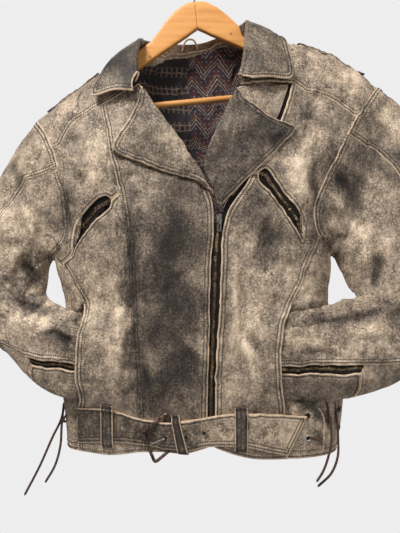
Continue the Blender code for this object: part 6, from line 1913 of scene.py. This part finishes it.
FOOT = 8 * MM
FOOT_HEIGHT = 3 * CLEAR + LEATHER
CLIMB_FROM, CLIMB_TO = 3.2 * MM, 2.6 * MM      # a band climbs between these distances from the belt
BAND_SHARES = 0.33, 0.67                       # its rows across the belt


def band(node, top_x, bottom_x, over):
    """A leather band across the belt, its two ends lying on the jacket above and below it."""
    top_x, bottom_x = np.linspace(*top_x, 2 * K + 1) * MM, np.linspace(*bottom_x, 2 * K + 1) * MM
    top, bottom = belt_top(top_x), belt_bottom(bottom_x)
    slope = (top_x - bottom_x) / (top - bottom)
    feet = (FOOT, FOOT_HEIGHT), (CLIMB_FROM, FOOT_HEIGHT), (CLIMB_TO, over)
    rows = [(bottom - away, off) for away, off in feet]
    rows += [(bottom + t * (top - bottom), over) for t in BAND_SHARES]
    rows += [(top + away, off) for away, off in feet[::-1]]
    pattern = fine([gathered(bottom_x + slope * (z - bottom), z) for z, _ in rows])
    height = fine([h for _, h in rows])[:, None, None]
    form_normal = normals(on_front, pattern)
    outer = on_front(pattern) + height * form_normal
    middle = len(rows) * K // 2, K
    normal = grid_normals(outer, middle, form_normal[middle])
    cloth(node, outer, -normal, dark_leather, worn=("low", "high"), rows=[("low", 2.6), ("high", 2.6)],
          shade=-0.5)


band("belt_keeper", (-34, -21), (-26, -10), 9.0 * MM + CLEAR + LEATHER)
band("belt_loop_left", (-142, -123), (-142, -123), BELT_LOW + 2 * CLEAR + LEATHER)
band("belt_loop_right", (60, 80), (60, 80), 6.0 * MM + 2 * CLEAR + LEATHER)

# ---- side laces --------------------------------------------------------------------------------
LACE_GAP = LACE_DIAMETER / 2 + CLEAR
LACE = LACE_DIAMETER + 0.6 * MM
#                     x    y    z
LACES = {"lace_left_a": [(-213.6, -13.5, -722), (-219, -16, -752), (-231, -20, -778), (-252, -22, -826),
                         (-277, -22, -874)],
         "lace_left_b": [(-213.8, -18.5, -724), (-216, -24, -760), (-217, -28, -791), (-225, -30, -822),
                         (-241, -30, -850)],
         "lace_right_a": [(205, -58.6, -712), (211, -58.6, -745), (212, -60, -773), (207, -60, -798),
                          (199, -60, -820), (189, -60, -836)],
         "lace_right_b": [(219, -50.3, -712), (223, -50.5, -740), (225, -51, -774), (224, -52, -800),
                          (214, -53, -825), (192, -54, -846)]}
for lace_name, lace_points in LACES.items():
    lace_path = curve(lace_points, 8)
    lace = rope(f"{lace_name}_cord", lace_path, LACE, lace_leather, node=lace_name)

#          name            height   x     z
LACING = [("lacing_left", 1.6, [(-200, -736), (-206, -745), (-210, -757)]),
          ("lacing_right", 0.3, [(176, -764), (186, -768), (198, -768)])]
for lace_name, height, lace_points in LACING:
    lace_pattern = curve(lace_points, 3)
    lace_path = on_front(lace_pattern) + (LACE_GAP + height * MM) * normals(on_front, lace_pattern)
    rope(f"{lace_name}_cord", lace_path, LACE, lace_leather, node=lace_name)

HOLE_RISE = 0.5 * MM
HOLE_CLIMB = 0, 30, 60, 80       # degrees
HOLE_AROUND = 24


def round_hole(name, at, normal, radius, rim=None, wire=0.0):
    """A hole's painted shade as a dark low dome of rings, radius * cos(a) wide and rising with sin(a),
    and its metal rim."""
    side = unit(np.cross(normal, UP))
    turn = all_round(HOLE_AROUND)[:, None]
    ring = np.cos(turn) * side + np.sin(turn) * np.cross(side, normal)
    climb = np.radians(HOLE_CLIMB)[:, None, None]
    dome = at + radius * np.cos(climb) * ring + HOLE_RISE * np.sin(climb) * normal
    # painted shade: a dark dome stands for the shade inside the hole
    loft(f"{name}_dark", dome, zip_tape)
    if rim:
        rope(f"{name}_rim", at + radius * ring, wire, rim, closed=True)


BELT_HOLES = [(-42.8, -758), (-12.5, -756.5), (14.9, -751)]
BELT_HOLE = 2.3 * MM
for number, (hole_x, hole_z) in enumerate(BELT_HOLES):
    hole_height = float(belt_height(np.array(hole_x * MM))) / MM
    hole_normal = normals(on_front, np.array([(hole_x, hole_z)]) * MM)[0]
    hole_at = above_form([(hole_x, hole_z, hole_height)])[0]
    round_hole(f"belt_hole_{number}", hole_at, hole_normal, BELT_HOLE)

#              x    z    on the side panel
EYELETS = [(175, -766, bright_steel), (173, -731, bronze_buckle), (228, -727, bronze_buckle),
           (229, -759, bronze_buckle)]
EYELET, EYELET_RIM, EYELET_LIFT = 4.2 * MM, 1.9 * MM, 0.3 * MM
for number, (eyelet_x, eyelet_z, rim_finish) in enumerate(EYELETS):
    eyelet_pattern = np.array([(side_angle(eyelet_x * MM, eyelet_z * MM), eyelet_z * MM)])
    eyelet_normal = normals(on_side, eyelet_pattern)[0]
    eyelet_at = on_side(eyelet_pattern)[0] + EYELET_LIFT * eyelet_normal
    round_hole(f"eyelet_{number}", eyelet_at, eyelet_normal, EYELET, rim_finish, EYELET_RIM)

FLAP_EDGE = [(189, -719), (196, -727), (201, -742), (202, -760), (200, -790)]
flap_pattern = curve(FLAP_EDGE, 6)
flap_angles = gathered(side_angle(*flap_pattern.T), flap_pattern[:, 1])
rope("flap_welt", on_side(flap_angles), 3.0 * MM, cream_welt)

# ---- the hanger --------------------------------------------------------------------------------
#             along  top drop  height, from the apex
HANGER_ARM = [(0.2, 0, 44.5), (12, 0.4, 50.6), (20, 3, 53.0), (35, 12, 51.9), (51, 27, 45.8),
              (65, 43, 37.5), (79, 59, 29.3), (100, 71, 28.9), (130, 88, 28.5), (160, 106, 27.2),
              (180, 117, 27.5), (180.5, 117.3, 54), (210, 134, 40), (214, 138, 33)]
RIDGE_CLEARANCE = LEATHER + 5.0 * MM
HANGER_IN_JACKET = {"left": 93 * MM, "right": 79 * MM}
JACKET_REACHES = 6 * MM          # the board starts to sink this far before it goes under the jacket
ARM_SQUARENESS = 7
ARM_AROUND = 40


def hanger_point(along, drop):
    """Local hanger coordinates turned into the frame: the whole hanger leans to the left."""
    cosine, sine = np.cos(HANGER_TILT), np.sin(HANGER_TILT)
    return along * cosine + drop * sine, HANGER_APEX + along * sine - drop * cosine


def hanger_arm(side):
    """One arm: a board's rounded section, |y|^7 + |z|^7 = 1, carried along its table."""
    sign = 1 if side == "right" else -1
    at, top, height = fine(np.array(HANGER_ARM) * MM).T
    x, z = hanger_point(sign * at, top)
    clear = ramp(np.abs(x), HANGER_IN_JACKET[side] - JACKET_REACHES, HANGER_IN_JACKET[side])
    z = z + clear * np.minimum(0, ridge_height(x) - RIDGE_CLEARANCE - z)
    low_x, low_z = hanger_point(sign * at, top + height)
    turn = all_round(ARM_AROUND)
    power = 2 / ARM_SQUARENESS
    depth = ARM_BOARD / 2 * squared_off(np.cos(turn), power)
    rise_share = (1 + squared_off(np.sin(turn), power))[None] / 2
    rings = gathered(low_x[:, None] + rise_share * (x - low_x)[:, None], depth,
                     low_z[:, None] + rise_share * (z - low_z)[:, None])
    rings = rings if side == "left" else rings[:, ::-1]
    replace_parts(loft(f"hanger_board_{side}", rings, lacquered_wood), f"hanger_arm_{side}")


hanger_arm("left")
hanger_arm("right")
ROD_DROP, ROD_HALF = 164 * MM, 179.9 * MM
rod_ends = [(x, 0, z) for x, z in (hanger_point(along, ROD_DROP) for along in (-ROD_HALF, ROD_HALF))]
rod_path = np.linspace(*rod_ends, 60)
rope("trouser_rod", rod_path, ROD_DIAMETER, lacquered_wood, around=24, node="hanger_rod")
HOOK_RADIUS = 18 * MM
HOOK_FROM, HOOK_TO = -40, 200    # degrees
hook_turn = np.radians(np.linspace(HOOK_FROM, HOOK_TO, 60))
hook_centre_z = HOOK_WIRE / 2 - HOOK_RADIUS
hook_shank = curve([(-1, 0, -61.7), (-1, 0, -52), (0, 0, -44), (5, 0, -37), (13.8, 0, -27.7)], 4)
hook_round = gathered(HOOK_RADIUS * np.cos(hook_turn), 0,
                      hook_centre_z + HOOK_RADIUS * np.sin(hook_turn))
rope("hook_wire", np.vstack([hook_shank[:-1], hook_round]), HOOK_WIRE, bright_steel, around=16,
     node="hanger_hook")

# ---- the pulls, sliders and their metal ---------------------------------------------------------
for node in ("zip_slider", "zip_pull", "chest_zip_slider_left", "chest_zip_pull_left",
             "chest_zip_slider_right", "chest_zip_pull_right"):
    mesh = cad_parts[node].data
    mesh.materials.clear()
    mesh.materials.append(dull_steel.material if node.startswith("zip") else bronze_buckle.material)

# ---- floor and light ---------------------------------------------------------------------------
FLOOR_HEIGHT = -1.35
FLOOR_RADIUS = 0.6
turn = all_round(96)
floor_ring = gathered(FLOOR_RADIUS * np.cos(turn), FLOOR_RADIUS * np.sin(turn), FLOOR_HEIGHT)
floor_mesh = bpy.data.meshes.new("floor")
floor_mesh.from_pydata(floor_ring.tolist(), [], [list(range(len(turn)))])
floor = bpy.data.objects.new("floor", floor_mesh)
bpy.context.scene.collection.objects.link(floor)
FLOOR_COLOUR = (0.75, 0.75, 0.76, 1.0)
floor_finish = bpy.data.materials.new("pale_floor")
floor_finish.use_nodes = True
floor_finish.node_tree.nodes["Principled BSDF"].inputs["Base Color"].default_value = FLOOR_COLOUR
floor_mesh.materials.append(floor_finish)

#          name    place                size  watts
LAMPS = [("key", (-0.8, -1.1, 1.15), 0.7, 50.0),
         ("fill", (1.4, -1.4, -0.2), 1.4, 10.0),
         ("rear", (0.2, 1.7, 0.7), 1.5, 28.0)]
JACKET_MIDDLE = np.array([0.0, 0.0, -0.48])
for lamp_name, lamp_at, lamp_size, watts in LAMPS:
    lamp_data = bpy.data.lights.new(lamp_name, "AREA")
    lamp_data.size = lamp_size
    lamp_data.energy = watts
    lamp = bpy.data.objects.new(lamp_name, lamp_data)
    lamp.location = lamp_at
    lamp.rotation_euler = Vector(JACKET_MIDDLE - lamp_at).to_track_quat("-Z", "Y").to_euler()
    bpy.context.scene.collection.objects.link(lamp)

WALL_COLOUR = (0.855, 0.85, 0.86, 1.0)
SKY_STRENGTH = 0.30
world = bpy.data.worlds.new("studio")
bpy.context.scene.world = world
world.use_nodes = True
links, nodes = world.node_tree.links, world.node_tree.nodes
sky = nodes["Background"]
sky.inputs["Color"].default_value = WALL_COLOUR
sky.inputs["Strength"].default_value = SKY_STRENGTH
seen = nodes.new("ShaderNodeBackground")
seen.inputs["Color"].default_value = WALL_COLOUR
ray = nodes.new("ShaderNodeLightPath")
either = nodes.new("ShaderNodeMixShader")
links.new(ray.outputs["Is Camera Ray"], either.inputs[0])
links.new(sky.outputs[0], either.inputs[1])
links.new(seen.outputs[0], either.inputs[2])
links.new(either.outputs[0], nodes["World Output"].inputs["Surface"])
